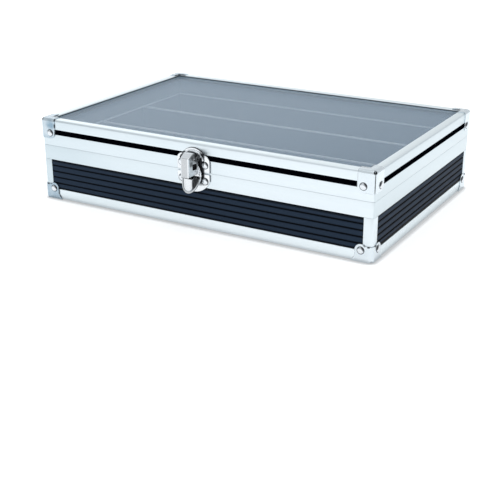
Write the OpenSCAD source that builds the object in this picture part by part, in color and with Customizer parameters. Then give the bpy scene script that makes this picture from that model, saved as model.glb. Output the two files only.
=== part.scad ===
// Coin display case: aluminium frame, ribbed black walls, glazed lid, hasp latch and rear hinges.
// X runs along the case, Y to the back, Z up. The origin is the middle of the underside.

/* [Case] */
// Length over the corner brackets
case_l = 295; // [220:5:400]
// Depth over the corner brackets
case_w = 200; // [150:5:300]
// Height of the base, from the table to the parting line
base_h = 45.4; // [40:0.2:70]
// Height of the lid, from the parting line to its top
lid_h = 22.3; // [21.5:0.1:40]
// Gap between the base and the lid at the parting line
seam_gap = 0.3; // [0.2:0.05:0.5]

/* [Aluminium profiles] */
// Wall of the aluminium profiles
prof_t = 1.2; // [0.8:0.1:1.6]
// Rounding of the upright corners of the profiles
edge_r = 2.5; // [1.5:0.1:3]
// Height of the bottom rail
rail_h = 8; // [6:0.5:10]
// Width of the bottom rail's leg under the board
rail_foot = 10; // [8:0.5:14]
// Width of each leg of a corner post
post_w = 7.6; // [6:0.2:8.6]
// Height of the band that closes the base at the top
rim_h = 12; // [9:0.5:16]
// Reach of the band's inner leg below the parting line
rim_skirt = 7; // [4:0.5:10]
// Thickness of the band's inner leg and tongue
tongue_t = 1; // [0.8:0.1:1.4]
// Height of the tongue that enters the lid
tongue_h = 4.6; // [2:0.2:6]
// Room left between the tongue's top and the lid
tongue_clear = 0.4; // [0.3:0.1:0.8]

/* [Walls and floor] */
// Thickness of the ribbed outer panels
panel_t = 1; // [0.6:0.1:1.5]
// Number of ribs on a panel
rib_n = 5; // [3:1:7]
// Height that a rib stands out from its panel
rib_out = 0.8; // [0.4:0.1:1]
// Width of the groove between two ribs
rib_gap = 0.7; // [0.4:0.1:1.2]
// Bevel along the edges of a rib
rib_bevel = 0.3; // [0.1:0.05:0.35]
// Thickness of the wall boards
board_t = 4; // [3:0.2:6]
// Thickness of the bottom board's edge
floor_t = 3; // [2:0.5:5]
// Clearance of the bottom board's lower face from the rails and brackets
floor_play = 0.3; // [0.2:0.1:1]
// Thickness of the velvet lining on the walls
lining_t = 1.6; // [1.4:0.1:2]
// Distance of the lining's upper edge below the tongue's top
lining_low = 0.4; // [0.2:0.1:1]
// Thickness of the velvet band inside the lid
band_t = 0.3; // [0.2:0.05:0.35]
// Thickness of the velvet pad on the floor
pad_t = 2; // [1:0.5:4]
// Thickness of a divider
divider_t = 1.6; // [1.5:0.1:4]
// Clearance at each end of a divider
divider_play = 0.2; // [0.1:0.1:0.5]

/* [Lid frame and window] */
// Width of the flange that covers the glass edge
flange_w = 6.9; // [5:0.1:9]
// Thickness of that flange
flange_t = 1; // [0.8:0.1:1.4]
// Rounding along the upper edge of the lid frame
top_r = 2; // [1:0.1:2.4]
// Thickness of the glass
glass_t = 3; // [2:0.5:4]
// Clearance between the glass edge and the frame
glass_play = 1; // [0.5:0.1:2]
// Thickness of the gasket on the glass
gasket_t = 0.5; // [0.3:0.1:1]
// Width of the gasket's visible lip
gasket_lip = 0.6; // [0.4:0.1:1]
// Thickness of the ledge under the glass
ledge_t = 1.2; // [0.8:0.1:1.6]
// Height of the black stripe
stripe_h = 3.6; // [2:0.2:5]
// Height of the stripe's lower edge above the lid's lower edge
stripe_up = 9.5; // [8:0.1:10]
// Depth of the stripe's groove
stripe_d = 1; // [0.6:0.1:1.2]
// Depth of the stripe's face below the frame's face
stripe_sink = 0.2; // [0.1:0.05:0.4]
// Length of the stripe's end that lies under a corner bracket
stripe_under = 1; // [0.5:0.1:2]

/* [Corner brackets] */
// Thickness of the steel of the corner brackets
bracket_t = 0.6; // [0.5:0.1:1]
// Length of a bracket's legs along the case
bracket_leg = 14; // [13:0.5:18]
// Height of the base brackets
base_bracket_h = 13.6; // [12.5:0.2:18]
// Height of the lid brackets
lid_bracket_h = 16.6; // [16:0.2:19]
// Rounding of the legs round their rivets
bracket_r = 4.7; // [3:0.1:5]
// Distance of the rivets from the upright edge
rivet_in = 9.3; // [9:0.1:10.5]
// Height of the base rivets
base_rivet_up = 8.8; // [7:0.1:9.5]
// Depth of the lid rivets below the top
lid_rivet_down = 12; // [11:0.1:12.4]
// Width of the slit along the edge of a lid bracket
slit_w = 0.5; // [0.3:0.1:0.8]
// Radius of the dimple where the flaps of a lid bracket meet
dimple_r = 1.5; // [1:0.1:2]

/* [Rivets] */
// Diameter of a rivet head
head_d = 6; // [4.5:0.1:6.2]
// Height of a rivet head
head_h = 1.2; // [0.8:0.1:1.6]
// Diameter of a rivet shank
shank_d = 3; // [2:0.1:3.2]
// Clearance round a shank
shank_fit = 0.05; // [0.03:0.01:0.1]
// Length of the shank behind the profile's wall
shank_tail = 1; // [0.6:0.1:1]

/* [Hinges] */
// Distance of each hinge's middle from the end of the case
hinge_in = 67.5; // [40:0.5:80]
// Width of a hinge
hinge_w = 36; // [30:1:50]
// Height of a hinge leaf
leaf_h = 13; // [11:0.5:14]
// Thickness of a hinge leaf
leaf_t = 1.2; // [0.8:0.1:1.5]
// Outer radius of the knuckles
knuckle_r = 2.6; // [2.2:0.1:3.2]
// Width of the middle knuckle
knuckle_mid = 14; // [10:1:18]
// Clearance beside a knuckle and between it and a leaf
knuckle_gap = 0.3; // [0.2:0.05:0.5]
// Radius of a hinge pin
hinge_pin_r = 1.2; // [0.8:0.1:1.4]
// Height of the heads at the ends of a hinge pin
pin_head = 0.8; // [0.5:0.1:1.5]
// Distance of a hinge rivet from the middle of its leaf
leaf_rivet_x = 11; // [8:0.5:12]
// Distance of a hinge rivet from the outer edge of its leaf
leaf_rivet_in = 5.6; // [5.2:0.1:6]

/* [Latch] */
// Thickness of the two latch plates
plate_t = 1.2; // [0.8:0.1:1.5]
// Half the width of the two latch plates
plate_hw = 14.4; // [13:0.2:18]
// Height of the lid plate's shoulders above the lid's lower edge
shoulder_up = 12.9; // [11:0.1:14]
// Rounding of the lid plate's shoulders
shoulder_r = 4.5; // [3:0.1:5]
// Radius of the lid plate's arch
arch_r = 12; // [11.5:0.1:12.5]
// Height of the arch's centre above the lid's lower edge
arch_up = 6.1; // [5.5:0.1:7]
// Wall of the raised horseshoe collar
collar_t = 1.6; // [1:0.1:1.8]
// Inner radius of the collar
collar_r = 9; // [8.8:0.1:9.6]
// Reach of the collar from the face of the lid frame
collar_out = 2.6; // [1.8:0.1:2.8]
// Drop of the base plate's rounded end below the parting line
plate_drop = 16.2; // [14:0.1:18]
// Radius of the base plate's rounded end
plate_end_r = 15.4; // [15:0.1:19]
// Distance of the base plate's upper edge below the base's upper face
plate_low = 0.8; // [0.5:0.1:1.5]
// Distance of the latch rivets from the middle
latch_rivet_x = 10.4; // [10:0.1:11]
// Height of the lid plate's rivets above the lid's lower edge
latch_rivet_up = 5.7; // [4:0.1:6]
// Drop of the base plate's rivets below the parting line
latch_rivet_down = 6.6; // [4:0.1:8]
// Height of the lever's pivot above the parting line
pivot_up = 11.6; // [10.5:0.1:12]
// Distance of the pivot from the face of the frame
pivot_out = 6.2; // [6:0.1:7]
// Radius of the latch pin
latch_pin_r = 1; // [0.8:0.05:1.1]
// Radial running clearance on the latch pin and the hinge pins
pin_fit = 0.05; // [0.02:0.01:0.09]
// Radius of the ears and the barrel round the latch pin
eye_r = 2; // [1.9:0.05:2.2]
// Thickness of an ear
ear_t = 1.2; // [1:0.1:1.4]
// Clearance between an ear and the lever's hood
ear_gap = 0.5; // [0.3:0.1:0.7]
// Half the width of the lever
lever_hw = 8.1; // [7.6:0.1:8.6]
// Thickness of the lever's sheet
lever_t = 0.8; // [0.6:0.1:1]
// Distance of the lever's back from the face of the frame
lever_off = 2; // [1.9:0.1:2.4]
// Drop of the lever's bend below the pivot
bend_drop = 14.9; // [14:0.1:16]
// Rise of the lever's oval above the bend
oval_up = 12.3; // [11:0.1:12.6]
// Length of the lever's tab below the bend
tab_len = 14.2; // [12:0.1:16]
// Angle that the tab is bent outwards
tab_flare = 30; // [20:1:35]
// Width of the lever's raised rim
lever_rim_w = 1.2; // [1:0.1:2]
// Height of the lever's raised rim
lever_rim = 0.5; // [0.4:0.1:0.8]

/* [Lever hood and catch] */
// Half the width of the hood's front face
hood_front_hw = 3.35; // [2.5:0.05:4]
// Half the width of the hood where it meets the lever's sheet
hood_foot_hw = 5.7; // [5.2:0.1:5.8]
// Half the width of the hood's round top
hood_top_hw = 4.6; // [4:0.1:5]
// Radius of the hood's round top about the pivot
hood_top_r = 4; // [3.4:0.1:4.2]
// Reach of the hood's front face from the pivot
hood_out = 7.1; // [5:0.1:7.5]
// Rise of the front face above the pivot
hood_rise = 1; // [0:0.1:1.5]
// Rise of the hood's foot above the pivot
foot_rise = 1.2; // [0.5:0.1:1.3]
// Drop of the front face's lower edge below the pivot
hood_drop = 14.1; // [12:0.1:14.6]
// Rise of the hood's lower edge from the front face to the foot
hood_undercut = 2.1; // [1:0.1:4]
// Wall of the hood
hood_t = 0.9; // [0.7:0.1:1.2]
// Width of the slot through the hood's sides, along the hood's reach
slot_w = 3.4; // [1:0.1:4]
// Height of that slot
slot_h = 3.6; // [2:0.1:5]
// Distance of the slot behind the hood's front face
slot_in = 5; // [4:0.1:5.4]
// Drop of the slot's middle below the pivot
slot_drop = 6.4; // [5.4:0.1:8]
// Half the width of the thumb ridge
ridge_hw = 3.8; // [3:0.1:4.5]
// Reach of the thumb ridge's face from the pivot
ridge_out = 3.1; // [2.4:0.1:4]
// Drop of the thumb ridge's upper end below the pivot
ridge_drop = 15.4; // [15:0.1:17]
// Drop of the thumb ridge's lower end below the pivot
ridge_end = 25.3; // [22:0.1:26]
// Drop of the catch nose's underside below the parting line
nose_drop = 8; // [7.6:0.1:9]
// Reach of the catch nose from the face of the frame
nose_out = 2.6; // [2:0.1:2.7]
// Thickness of the catch nose
nose_t = 1.4; // [1:0.1:1.6]
// Half the width of the catch nose
nose_hw = 4; // [3:0.1:5]
// Clearance of the lever's catch lip under the nose
catch_gap = 0.3; // [0.2:0.05:0.5]
// Thickness of the catch lip
lip_t = 1.2; // [0.8:0.1:1.5]
// Distance of the catch lip's tip in front of the nose while the lever is eased
lip_clear = 0.4; // [0.3:0.05:0.5]

/* [Hidden] */
$fn = 48;

// Overshoot of a cut past the face it opens
cut = 1;
// Thickness of the slices that a hull joins
sliver = 0.01;
// Number of dividers across the depth
divider_n = 2;

// Outer length and depth of the profiles, without the brackets
prof_l = case_l - 2 * bracket_t;
prof_w = case_w - 2 * bracket_t;
// Plan offsets from the profile's face: wall board, inner leg, lining
board_in = prof_t + panel_t;
leg_in = board_in + board_t;
tongue_in = leg_in + tongue_t;
lining_in = leg_in + lining_t;
// Heights in the base
foot_top = bracket_t + prof_t;
rail_top = bracket_t + rail_h;
rim_bottom = base_h - rim_h;
web_bottom = base_h - prof_t;
skirt_bottom = base_h - rim_skirt;
tongue_top = base_h + tongue_h;
floor_top = foot_top + floor_t;
pad_top = floor_top + pad_t;
rib_pitch = (rim_bottom - rail_top) / rib_n;
row_w = (prof_w - 2 * lining_in - divider_n * divider_t) / (divider_n + 1);
// Heights in the lid
lid_bottom = base_h + seam_gap;
case_h = lid_bottom + lid_h;
frame_top = case_h - bracket_t;
glass_top = frame_top - flange_t - gasket_t;
glass_bottom = glass_top - glass_t;
ledge_bottom = glass_bottom - ledge_t;
stripe_z = lid_bottom + stripe_up;
glass_in = prof_t + glass_play;
// Hinge places and axis
hinge_x = case_l / 2 - hinge_in;
hinge_y = prof_w / 2 + leaf_t + knuckle_gap + knuckle_r;
hinge_z = base_h + seam_gap / 2;
// Latch
face_y = -prof_w / 2;
pivot_y = face_y - pivot_out;
pivot_z = hinge_z + pivot_up;
plate_top = base_h - plate_low;
arch_z = lid_bottom + arch_up;
ear_in = hood_foot_hw + ear_gap;
lever_back = lever_off - pivot_out;
lever_face = lever_back + lever_t;
lip_top = nose_drop + pivot_up + catch_gap;

function side_turn(side) = side == "front" ? 0 : side == "right" ? 90 : side == "back" ? 180 : 270;
function lies_along_x(side) = side == "front" || side == "back";
function half_run(side) = (lies_along_x(side) ? prof_l : prof_w) / 2;
function half_out(side) = (lies_along_x(side) ? prof_w : prof_l) / 2;

// Stands its children, drawn as (inset from the face, height), at one side of the case
module on_side(side) {
  rotate([0, 0, side_turn(side)]) translate([0, -half_out(side), 0]) children();
}

// Carries a section, drawn as (inset, height), along X over a length
module carried(length) {
  rotate([90, 0, 90]) linear_extrude(length, center = true) children();
}

// Rounded rectangle in plan, with true arcs
module round_plan(l, w, r) {
  square([l - 2 * r, w], center = true);
  square([l, w - 2 * r], center = true);
  for (x = [-1, 1], y = [-1, 1]) translate([x * (l / 2 - r), y * (w / 2 - r)]) circle(r);
}

// Upright block with the profiles' rounded corners, grown by g
module upright_block(z0, z1, g = 0) {
  translate([0, 0, z0]) linear_extrude(z1 - z0) round_plan(prof_l + 2 * g, prof_w + 2 * g, edge_r + g);
}

// Bevelled plan that mitres a run against its neighbours
module mitred(side, depth, z0, z1) {
  run = half_run(side);
  on_side(side) intersection() {
    carried(2 * run) children();
    translate([0, 0, z0]) linear_extrude(z1 - z0)
      polygon([[-run, 0], [run, 0], [run - depth, depth], [depth - run, depth]]);
  }
}

// Rectangle given by its low and high corners
module span(low, high) {
  translate(low) square(high - low);
}

// Box given by its low and high corners
module box(low, high) {
  translate(low) cube(high - low);
}

// Places its children, drawn at the front right corner, at a named corner
module at_corner(corner) {
  mirror([corner == "fl" || corner == "bl" ? 1 : 0, 0, 0])
    mirror([0, corner == "bl" || corner == "br" ? 1 : 0, 0]) children();
}

// Domed rivet on a face at the origin, head towards -Y, shank towards +Y
module rivet(grip) {
  cap_r = (pow(head_d / 2, 2) + pow(head_h, 2)) / (2 * head_h);
  rotate([90, 0, 0]) {
    intersection() {
      translate([0, 0, head_h - cap_r]) sphere(cap_r);
      cylinder(h = head_h, d = head_d);
    }
    translate([0, 0, -grip]) cylinder(h = grip, d = shank_d);
  }
}

// Hole for a rivet shank, through everything behind a face at the origin
module rivet_hole(grip) {
  rotate([90, 0, 0]) translate([0, 0, -grip]) cylinder(h = grip + cut, d = shank_d + 2 * shank_fit);
}

// Places of the two rivets at each corner, on the faces of a bracket
module corner_rivet_places(z) {
  for (corner = ["fl", "fr", "bl", "br"]) at_corner(corner) {
    translate([case_l / 2 - rivet_in, -case_w / 2, z]) children();
    translate([case_l / 2, -case_w / 2 + rivet_in, z]) rotate([0, 0, 90]) children();
  }
}

base_grip = bracket_t + prof_t + panel_t;
lid_grip = bracket_t + prof_t + shank_tail;

module base_corner_holes() {
  corner_rivet_places(base_rivet_up) rivet_hole(base_grip);
}

module lid_corner_holes() {
  corner_rivet_places(case_h - lid_rivet_down) rivet_hole(lid_grip + shank_tail);
}

// Places of the rivets of the latch plates
module latch_rivet_places(z) {
  for (x = [-latch_rivet_x, latch_rivet_x]) translate([x, face_y - plate_t, z]) children();
}

latch_base_grip = plate_t + prof_t + panel_t;
latch_lid_grip = plate_t + prof_t + shank_tail;
latch_lid_rivet_z = lid_bottom + latch_rivet_up;
latch_base_rivet_z = hinge_z - latch_rivet_down;

// Places of the rivets of the hinge leaves, heads to the back
module leaf_rivet_places(z) {
  for (side = [-1, 1], x = [-leaf_rivet_x, leaf_rivet_x])
    translate([side * hinge_x + x, prof_w / 2 + leaf_t, z]) rotate([0, 0, 180]) children();
}

leaf_base_grip = leaf_t + prof_t + panel_t;
leaf_lid_grip = leaf_t + prof_t + shank_tail;
leaf_base_rivet_z = base_h - leaf_h + leaf_rivet_in;
leaf_lid_rivet_z = lid_bottom + leaf_h - leaf_rivet_in;

module base_fixing_holes() {
  base_corner_holes();
  latch_rivet_places(latch_base_rivet_z) rivet_hole(latch_base_grip);
  leaf_rivet_places(leaf_base_rivet_z) rivet_hole(leaf_base_grip);
}

module lid_fixing_holes() {
  lid_corner_holes();
  latch_rivet_places(latch_lid_rivet_z) rivet_hole(latch_lid_grip + shank_tail);
  leaf_rivet_places(leaf_lid_rivet_z) rivet_hole(leaf_lid_grip + shank_tail);
}

// Wooden board with a rebated edge that rests on the rails' feet; its middle is level with the brackets
module base_board() {
  rebate_in = max(rail_foot, bracket_leg - bracket_t) + floor_play;
  color("peru") {
    box([-prof_l / 2 + leg_in, -prof_w / 2 + leg_in, foot_top],
        [prof_l / 2 - leg_in, prof_w / 2 - leg_in, floor_top]);
    box([-prof_l / 2 + rebate_in, -prof_w / 2 + rebate_in, 0],
        [prof_l / 2 - rebate_in, prof_w / 2 - rebate_in, floor_top]);
  }
}

// Upright wall board; the front and back boards run past the ends of the side boards
module wall(side) {
  run = half_run(side) - (lies_along_x(side) ? board_in : leg_in);
  color("dimgray") on_side(side) box([-run, board_in, foot_top], [run, leg_in, web_bottom]);
}

// Thin black panel with level ribs between the corner posts
module panel(side) {
  run = half_run(side) - (lies_along_x(side) ? prof_t : board_in);
  rib_run = half_run(side) - post_w;
  rib_h = rib_pitch - rib_gap;
  color([0.12, 0.13, 0.15]) difference() {
    on_side(side) {
      box([-run, prof_t, foot_top], [run, board_in, web_bottom]);
      for (i = [0:rib_n - 1]) translate([0, 0, rail_top + i * rib_pitch + rib_gap / 2])
        carried(2 * rib_run) polygon([
          [prof_t, 0], [prof_t - rib_out + rib_bevel, 0], [prof_t - rib_out, rib_bevel],
          [prof_t - rib_out, rib_h - rib_bevel], [prof_t - rib_out + rib_bevel, rib_h], [prof_t, rib_h],
        ]);
    }
    base_fixing_holes();
  }
}

// Angle profile along the lower edge
module bottom_rail(side) {
  color("gainsboro") difference() {
    intersection() {
      mitred(side, rail_foot, bracket_t, rail_top) {
        span([0, bracket_t], [prof_t, rail_top]);
        span([0, bracket_t], [rail_foot, foot_top]);
      }
      upright_block(bracket_t, rail_top);
    }
    base_corner_holes();
  }
}

// Upright angle profile at a corner, between the bottom rail and the upper band
module corner_post(corner) {
  color("gainsboro") difference() {
    at_corner(corner) intersection() {
      upright_block(rail_top, rim_bottom);
      translate([0, 0, rail_top]) linear_extrude(rim_bottom - rail_top) {
        span([prof_l / 2 - post_w, -prof_w / 2], [prof_l / 2, -prof_w / 2 + prof_t]);
        span([prof_l / 2 - prof_t, -prof_w / 2], [prof_l / 2, -prof_w / 2 + post_w]);
      }
    }
    base_corner_holes();
  }
}

// Profile that caps the walls, with a tongue that rises into the lid
module base_rim(side) {
  color("gainsboro") difference() {
    intersection() {
      mitred(side, tongue_in, rim_bottom, tongue_top) {
        span([0, rim_bottom], [prof_t, base_h]);
        span([0, web_bottom], [tongue_in, base_h]);
        span([leg_in, skirt_bottom], [tongue_in, tongue_top]);
      }
      upright_block(rim_bottom, tongue_top);
    }
    base_fixing_holes();
  }
}

// Outline of a bracket's leg, (along the case, height), with one corner round its rivet
module leg_outline(height) {
  difference() {
    square([bracket_leg, height]);
    translate([bracket_leg - bracket_r, height - bracket_r]) difference() {
      square(bracket_r + cut);
      circle(bracket_r);
    }
  }
}

// Folded steel bracket on a lower corner: two upright legs and one under the case
module base_corner(corner) {
  color("silver") difference() {
    at_corner(corner) {
      intersection() {
        difference() {
          upright_block(0, base_bracket_h, bracket_t);
          upright_block(-cut, base_bracket_h + cut);
        }
        union() {
          translate([case_l / 2, -case_w / 2 + edge_r + bracket_t, 0]) mirror([1, 0, 0])
            rotate([90, 0, 0]) linear_extrude(edge_r + bracket_t) leg_outline(base_bracket_h);
          translate([case_l / 2 - edge_r - bracket_t, -case_w / 2, 0])
            rotate([90, 0, 90]) linear_extrude(edge_r + bracket_t) leg_outline(base_bracket_h);
        }
      }
      intersection() {
        upright_block(0, bracket_t);
        translate([case_l / 2, -case_w / 2, 0]) linear_extrude(bracket_t)
          polygon([[0, 0], [-bracket_leg, 0], [-bracket_leg, bracket_leg / 2],
                   [-bracket_leg / 2, bracket_leg], [0, bracket_leg]]);
      }
    }
    base_corner_holes();
  }
}

module base_corner_rivets() {
  color("whitesmoke") corner_rivet_places(base_rivet_up) rivet(base_grip);
}

// Band of the given thickness round all four inner faces
module ring_inside(inset, wall, z0, z1) {
  difference() {
    box([-prof_l / 2 + inset, -prof_w / 2 + inset, z0], [prof_l / 2 - inset, prof_w / 2 - inset, z1]);
    box([-prof_l / 2 + inset + wall, -prof_w / 2 + inset + wall, z0 - cut],
        [prof_l / 2 - inset - wall, prof_w / 2 - inset - wall, z1 + cut]);
  }
}

// Velvet band round the inside of the walls, thinner where it covers the upper profile's inner leg
module wall_lining() {
  color([0.09, 0.09, 0.11]) {
    ring_inside(leg_in, lining_t, floor_top, skirt_bottom);
    ring_inside(tongue_in, lining_in - tongue_in, floor_top, tongue_top - lining_low);
  }
}

// Velvet band round the inside of the lid frame, under the ledge
module lid_lining() {
  color([0.09, 0.09, 0.11]) ring_inside(flange_w, band_t, tongue_top + tongue_clear, glass_bottom);
}

// Velvet pad on the bottom board
module floor_pad() {
  color([0.09, 0.09, 0.11]) box([-prof_l / 2 + lining_in, -prof_w / 2 + lining_in, floor_top],
                                [prof_l / 2 - lining_in, prof_w / 2 - lining_in, pad_top]);
}

// Lengthwise divider, counted from the front
module divider(i) {
  y = -prof_w / 2 + lining_in + i * row_w + (i - 1) * divider_t;
  run = prof_l / 2 - lining_in - divider_play;
  color([0.2, 0.2, 0.22]) box([-run, y, pad_top], [run, y + divider_t, tongue_top]);
}

// Section of the lid frame: outer wall with the stripe's groove, flange, glass ledge, inner leg
module lid_section() {
  difference() {
    union() {
      span([0, lid_bottom], [prof_t, frame_top]);
      span([0, stripe_z - prof_t], [prof_t + stripe_d, stripe_z + stripe_h + prof_t]);
      span([0, frame_top - flange_t], [flange_w, frame_top]);
      span([0, frame_top - top_r], [top_r, frame_top]);
      span([0, ledge_bottom], [flange_w, glass_bottom]);
      span([flange_w - tongue_t, tongue_top + tongue_clear], [flange_w, glass_bottom]);
    }
    span([-cut, stripe_z], [stripe_d, stripe_z + stripe_h]);
    translate([top_r, frame_top - top_r]) difference() {
      span([-top_r - cut, 0], [0, top_r + cut]);
      circle(top_r);
    }
  }
}

module lid_frame(side) {
  color("gainsboro") difference() {
    intersection() {
      mitred(side, flange_w, lid_bottom, frame_top) lid_section();
      upright_block(lid_bottom, frame_top);
    }
    lid_fixing_holes();
  }
}

// Black strip pressed into the groove of the lid frame
module lid_stripe(side) {
  run = half_run(side) + bracket_t - bracket_leg + stripe_under;
  color([0.02, 0.02, 0.03]) on_side(side)
    box([-run, stripe_sink, stripe_z], [run, stripe_d, stripe_z + stripe_h]);
}

// Glass plate of the lid
module window_pane() {
  color([0.6, 0.7, 0.78, 0.5]) box([-prof_l / 2 + glass_in, -prof_w / 2 + glass_in, glass_bottom],
                                   [prof_l / 2 - glass_in, prof_w / 2 - glass_in, glass_top]);
}

// Black rubber frame between the glass and the flange, with a lip at the flange's edge
module glazing_gasket() {
  lip_in_l = prof_l / 2 - flange_w;
  lip_in_w = prof_w / 2 - flange_w;
  color([0.03, 0.03, 0.04]) difference() {
    box([-prof_l / 2 + glass_in, -prof_w / 2 + glass_in, glass_top],
        [prof_l / 2 - glass_in, prof_w / 2 - glass_in, glass_top + gasket_t]);
    box([gasket_lip - lip_in_l, gasket_lip - lip_in_w, glass_top - cut],
        [lip_in_l - gasket_lip, lip_in_w - gasket_lip, frame_top + cut]);
  }
}

// Block with the lid's rounded edges, grown by g
module lid_block(g = 0) {
  intersection() {
    upright_block(lid_bottom, case_h + cut, g);
    rotate([90, 0, 90]) linear_extrude(2 * case_l, center = true) top_rounded(prof_w, g);
    rotate([90, 0, 0]) linear_extrude(2 * case_w, center = true) top_rounded(prof_l, g);
  }
}

// Rectangle of the lid seen from its side, with rounded upper corners, grown by g
module top_rounded(width, g) {
  r = top_r + g;
  top = frame_top + g;
  span([-width / 2 - g, lid_bottom - cut], [width / 2 + g, top - r]);
  span([-width / 2 - g + r, lid_bottom - cut], [width / 2 + g - r, top]);
  for (x = [-1, 1]) translate([x * (width / 2 + g - r), top - r]) circle(r);
}

// Folded steel bracket on an upper corner: its flaps meet along the upright edge
module lid_corner(corner) {
  fold = top_r + bracket_t;
  drop = lid_bracket_h;
  color("silver") difference() {
    at_corner(corner) difference() {
      intersection() {
        difference() {
          lid_block(bracket_t);
          lid_block();
        }
        union() {
          translate([case_l / 2, -case_w / 2 + edge_r + bracket_t, case_h]) mirror([0, 0, 1])
            mirror([1, 0, 0]) rotate([90, 0, 0]) linear_extrude(edge_r + bracket_t) leg_outline(drop);
          translate([case_l / 2 - edge_r - bracket_t, -case_w / 2, case_h]) mirror([0, 0, 1])
            rotate([90, 0, 90]) linear_extrude(edge_r + bracket_t) leg_outline(drop);
          translate([case_l / 2, -case_w / 2, case_h - fold]) linear_extrude(fold) {
            span([-bracket_leg, 0], [0, flange_w + bracket_t / 2]);
            span([-flange_w - bracket_t / 2, 0], [0, bracket_leg]);
          }
        }
      }
      translate([case_l / 2, -case_w / 2, case_h - drop - cut]) rotate([0, 0, 45])
        box([-slit_w / 2, -edge_r - bracket_t, 0], [slit_w / 2, edge_r + bracket_t, drop + cut - fold]);
      translate([case_l / 2 - fold / 2, -case_w / 2 + fold / 2, case_h - fold / 2]) sphere(dimple_r);
    }
    lid_corner_holes();
  }
}

module lid_corner_rivets() {
  color("whitesmoke") corner_rivet_places(case_h - lid_rivet_down) rivet(lid_grip);
}

// Knuckle between two places along the hinge, joined to its leaf by a web at the given height
module knuckle(x0, x1, web_z) {
  translate([x0, hinge_y, hinge_z]) rotate([0, 90, 0]) cylinder(h = x1 - x0, r = knuckle_r);
  box([x0, prof_w / 2, web_z], [x1, hinge_y, web_z + leaf_t]);
}

module hinge_bore(x) {
  translate([x - hinge_w, hinge_y, hinge_z]) rotate([0, 90, 0])
    cylinder(h = 2 * hinge_w, r = hinge_pin_r + pin_fit);
}

// Lower hinge leaf with the two outer knuckles
module hinge_base_leaf(x) {
  color("silver") difference() {
    union() {
      box([x - hinge_w / 2, prof_w / 2, base_h - leaf_h], [x + hinge_w / 2, prof_w / 2 + leaf_t, base_h]);
      knuckle(x - hinge_w / 2, x - knuckle_mid / 2 - knuckle_gap, hinge_z - knuckle_r);
      knuckle(x + knuckle_mid / 2 + knuckle_gap, x + hinge_w / 2, hinge_z - knuckle_r);
    }
    hinge_bore(x);
    leaf_rivet_places(leaf_base_rivet_z) rivet_hole(leaf_base_grip);
  }
}

// Upper hinge leaf with the middle knuckle
module hinge_lid_leaf(x) {
  color("silver") difference() {
    union() {
      box([x - hinge_w / 2, prof_w / 2, lid_bottom],
          [x + hinge_w / 2, prof_w / 2 + leaf_t, lid_bottom + leaf_h]);
      knuckle(x - knuckle_mid / 2, x + knuckle_mid / 2, hinge_z + knuckle_r - leaf_t);
    }
    hinge_bore(x);
    leaf_rivet_places(leaf_lid_rivet_z) rivet_hole(leaf_lid_grip);
  }
}

module hinge_pins() {
  color("lightgray") for (side = [-1, 1])
    translate([side * hinge_x, hinge_y, hinge_z]) rotate([0, 90, 0]) {
      cylinder(h = hinge_w, r = hinge_pin_r, center = true);
      for (end = [-1, 1]) translate([0, 0, end * (hinge_w + pin_head) / 2])
        cylinder(h = pin_head, r = (hinge_pin_r + knuckle_r) / 2, center = true);
    }
}

module hinge_base_rivets() {
  color("whitesmoke") leaf_rivet_places(leaf_base_rivet_z) rivet(leaf_base_grip);
}

module hinge_lid_rivets() {
  color("whitesmoke") leaf_rivet_places(leaf_lid_rivet_z) rivet(leaf_lid_grip);
}

// Carries an outline, drawn as (X, Z), from the latch's face outwards between two distances
module outwards(from, to) {
  translate([0, face_y - from, 0]) rotate([90, 0, 0]) linear_extrude(to - from) children();
}

// Rounded plate riveted to the base, with the nose that holds the lever's catch lip
module latch_base_plate() {
  bottom = hinge_z - plate_drop;
  color("whitesmoke") difference() {
    union() {
      outwards(0, plate_t) intersection() {
        span([-plate_hw, bottom], [plate_hw, plate_top]);
        translate([0, bottom + plate_end_r]) union() {
          circle(plate_end_r);
          span([-plate_hw, 0], [plate_hw, plate_drop]);
        }
      }
      outwards(0, nose_out)
        span([-nose_hw, hinge_z - nose_drop], [nose_hw, hinge_z - nose_drop + nose_t]);
    }
    latch_rivet_places(latch_base_rivet_z) rivet_hole(latch_base_grip);
  }
}

module latch_base_rivets() {
  color("whitesmoke") latch_rivet_places(latch_base_rivet_z) rivet(latch_base_grip);
}

// Arched plate riveted to the lid, with a horseshoe collar and two ears for the lever's pin
module latch_lid_plate() {
  shoulder = lid_bottom + shoulder_up;
  color("whitesmoke") difference() {
    union() {
      outwards(0, plate_t) intersection() {
        union() {
          span([-plate_hw, lid_bottom], [plate_hw, shoulder - shoulder_r]);
          span([shoulder_r - plate_hw, lid_bottom], [plate_hw - shoulder_r, shoulder]);
          for (x = [-1, 1]) translate([x * (plate_hw - shoulder_r), shoulder - shoulder_r])
            circle(shoulder_r);
          translate([0, arch_z]) circle(arch_r);
        }
        span([-plate_hw, lid_bottom], [plate_hw, frame_top]);
      }
      outwards(0, collar_out) translate([0, arch_z]) intersection() {
        difference() {
          circle(collar_r + collar_t);
          circle(collar_r);
        }
        span([-2 * collar_r, pivot_z - arch_z - eye_r], [2 * collar_r, 2 * collar_r]);
      }
      for (side = [-1, 1]) translate([side * (ear_in + ear_t / 2), 0, pivot_z]) {
        box([-ear_t / 2, pivot_y, -eye_r], [ear_t / 2, face_y, eye_r]);
        translate([-ear_t / 2, pivot_y, 0]) rotate([0, 90, 0]) cylinder(h = ear_t, r = eye_r);
      }
    }
    translate([0, pivot_y, pivot_z]) rotate([0, 90, 0])
      cylinder(h = 2 * plate_hw, r = latch_pin_r + pin_fit, center = true);
    latch_rivet_places(latch_lid_rivet_z) rivet_hole(latch_lid_grip);
  }
}

module latch_lid_rivets() {
  color("whitesmoke") latch_rivet_places(latch_lid_rivet_z) rivet(latch_lid_grip);
}

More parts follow.
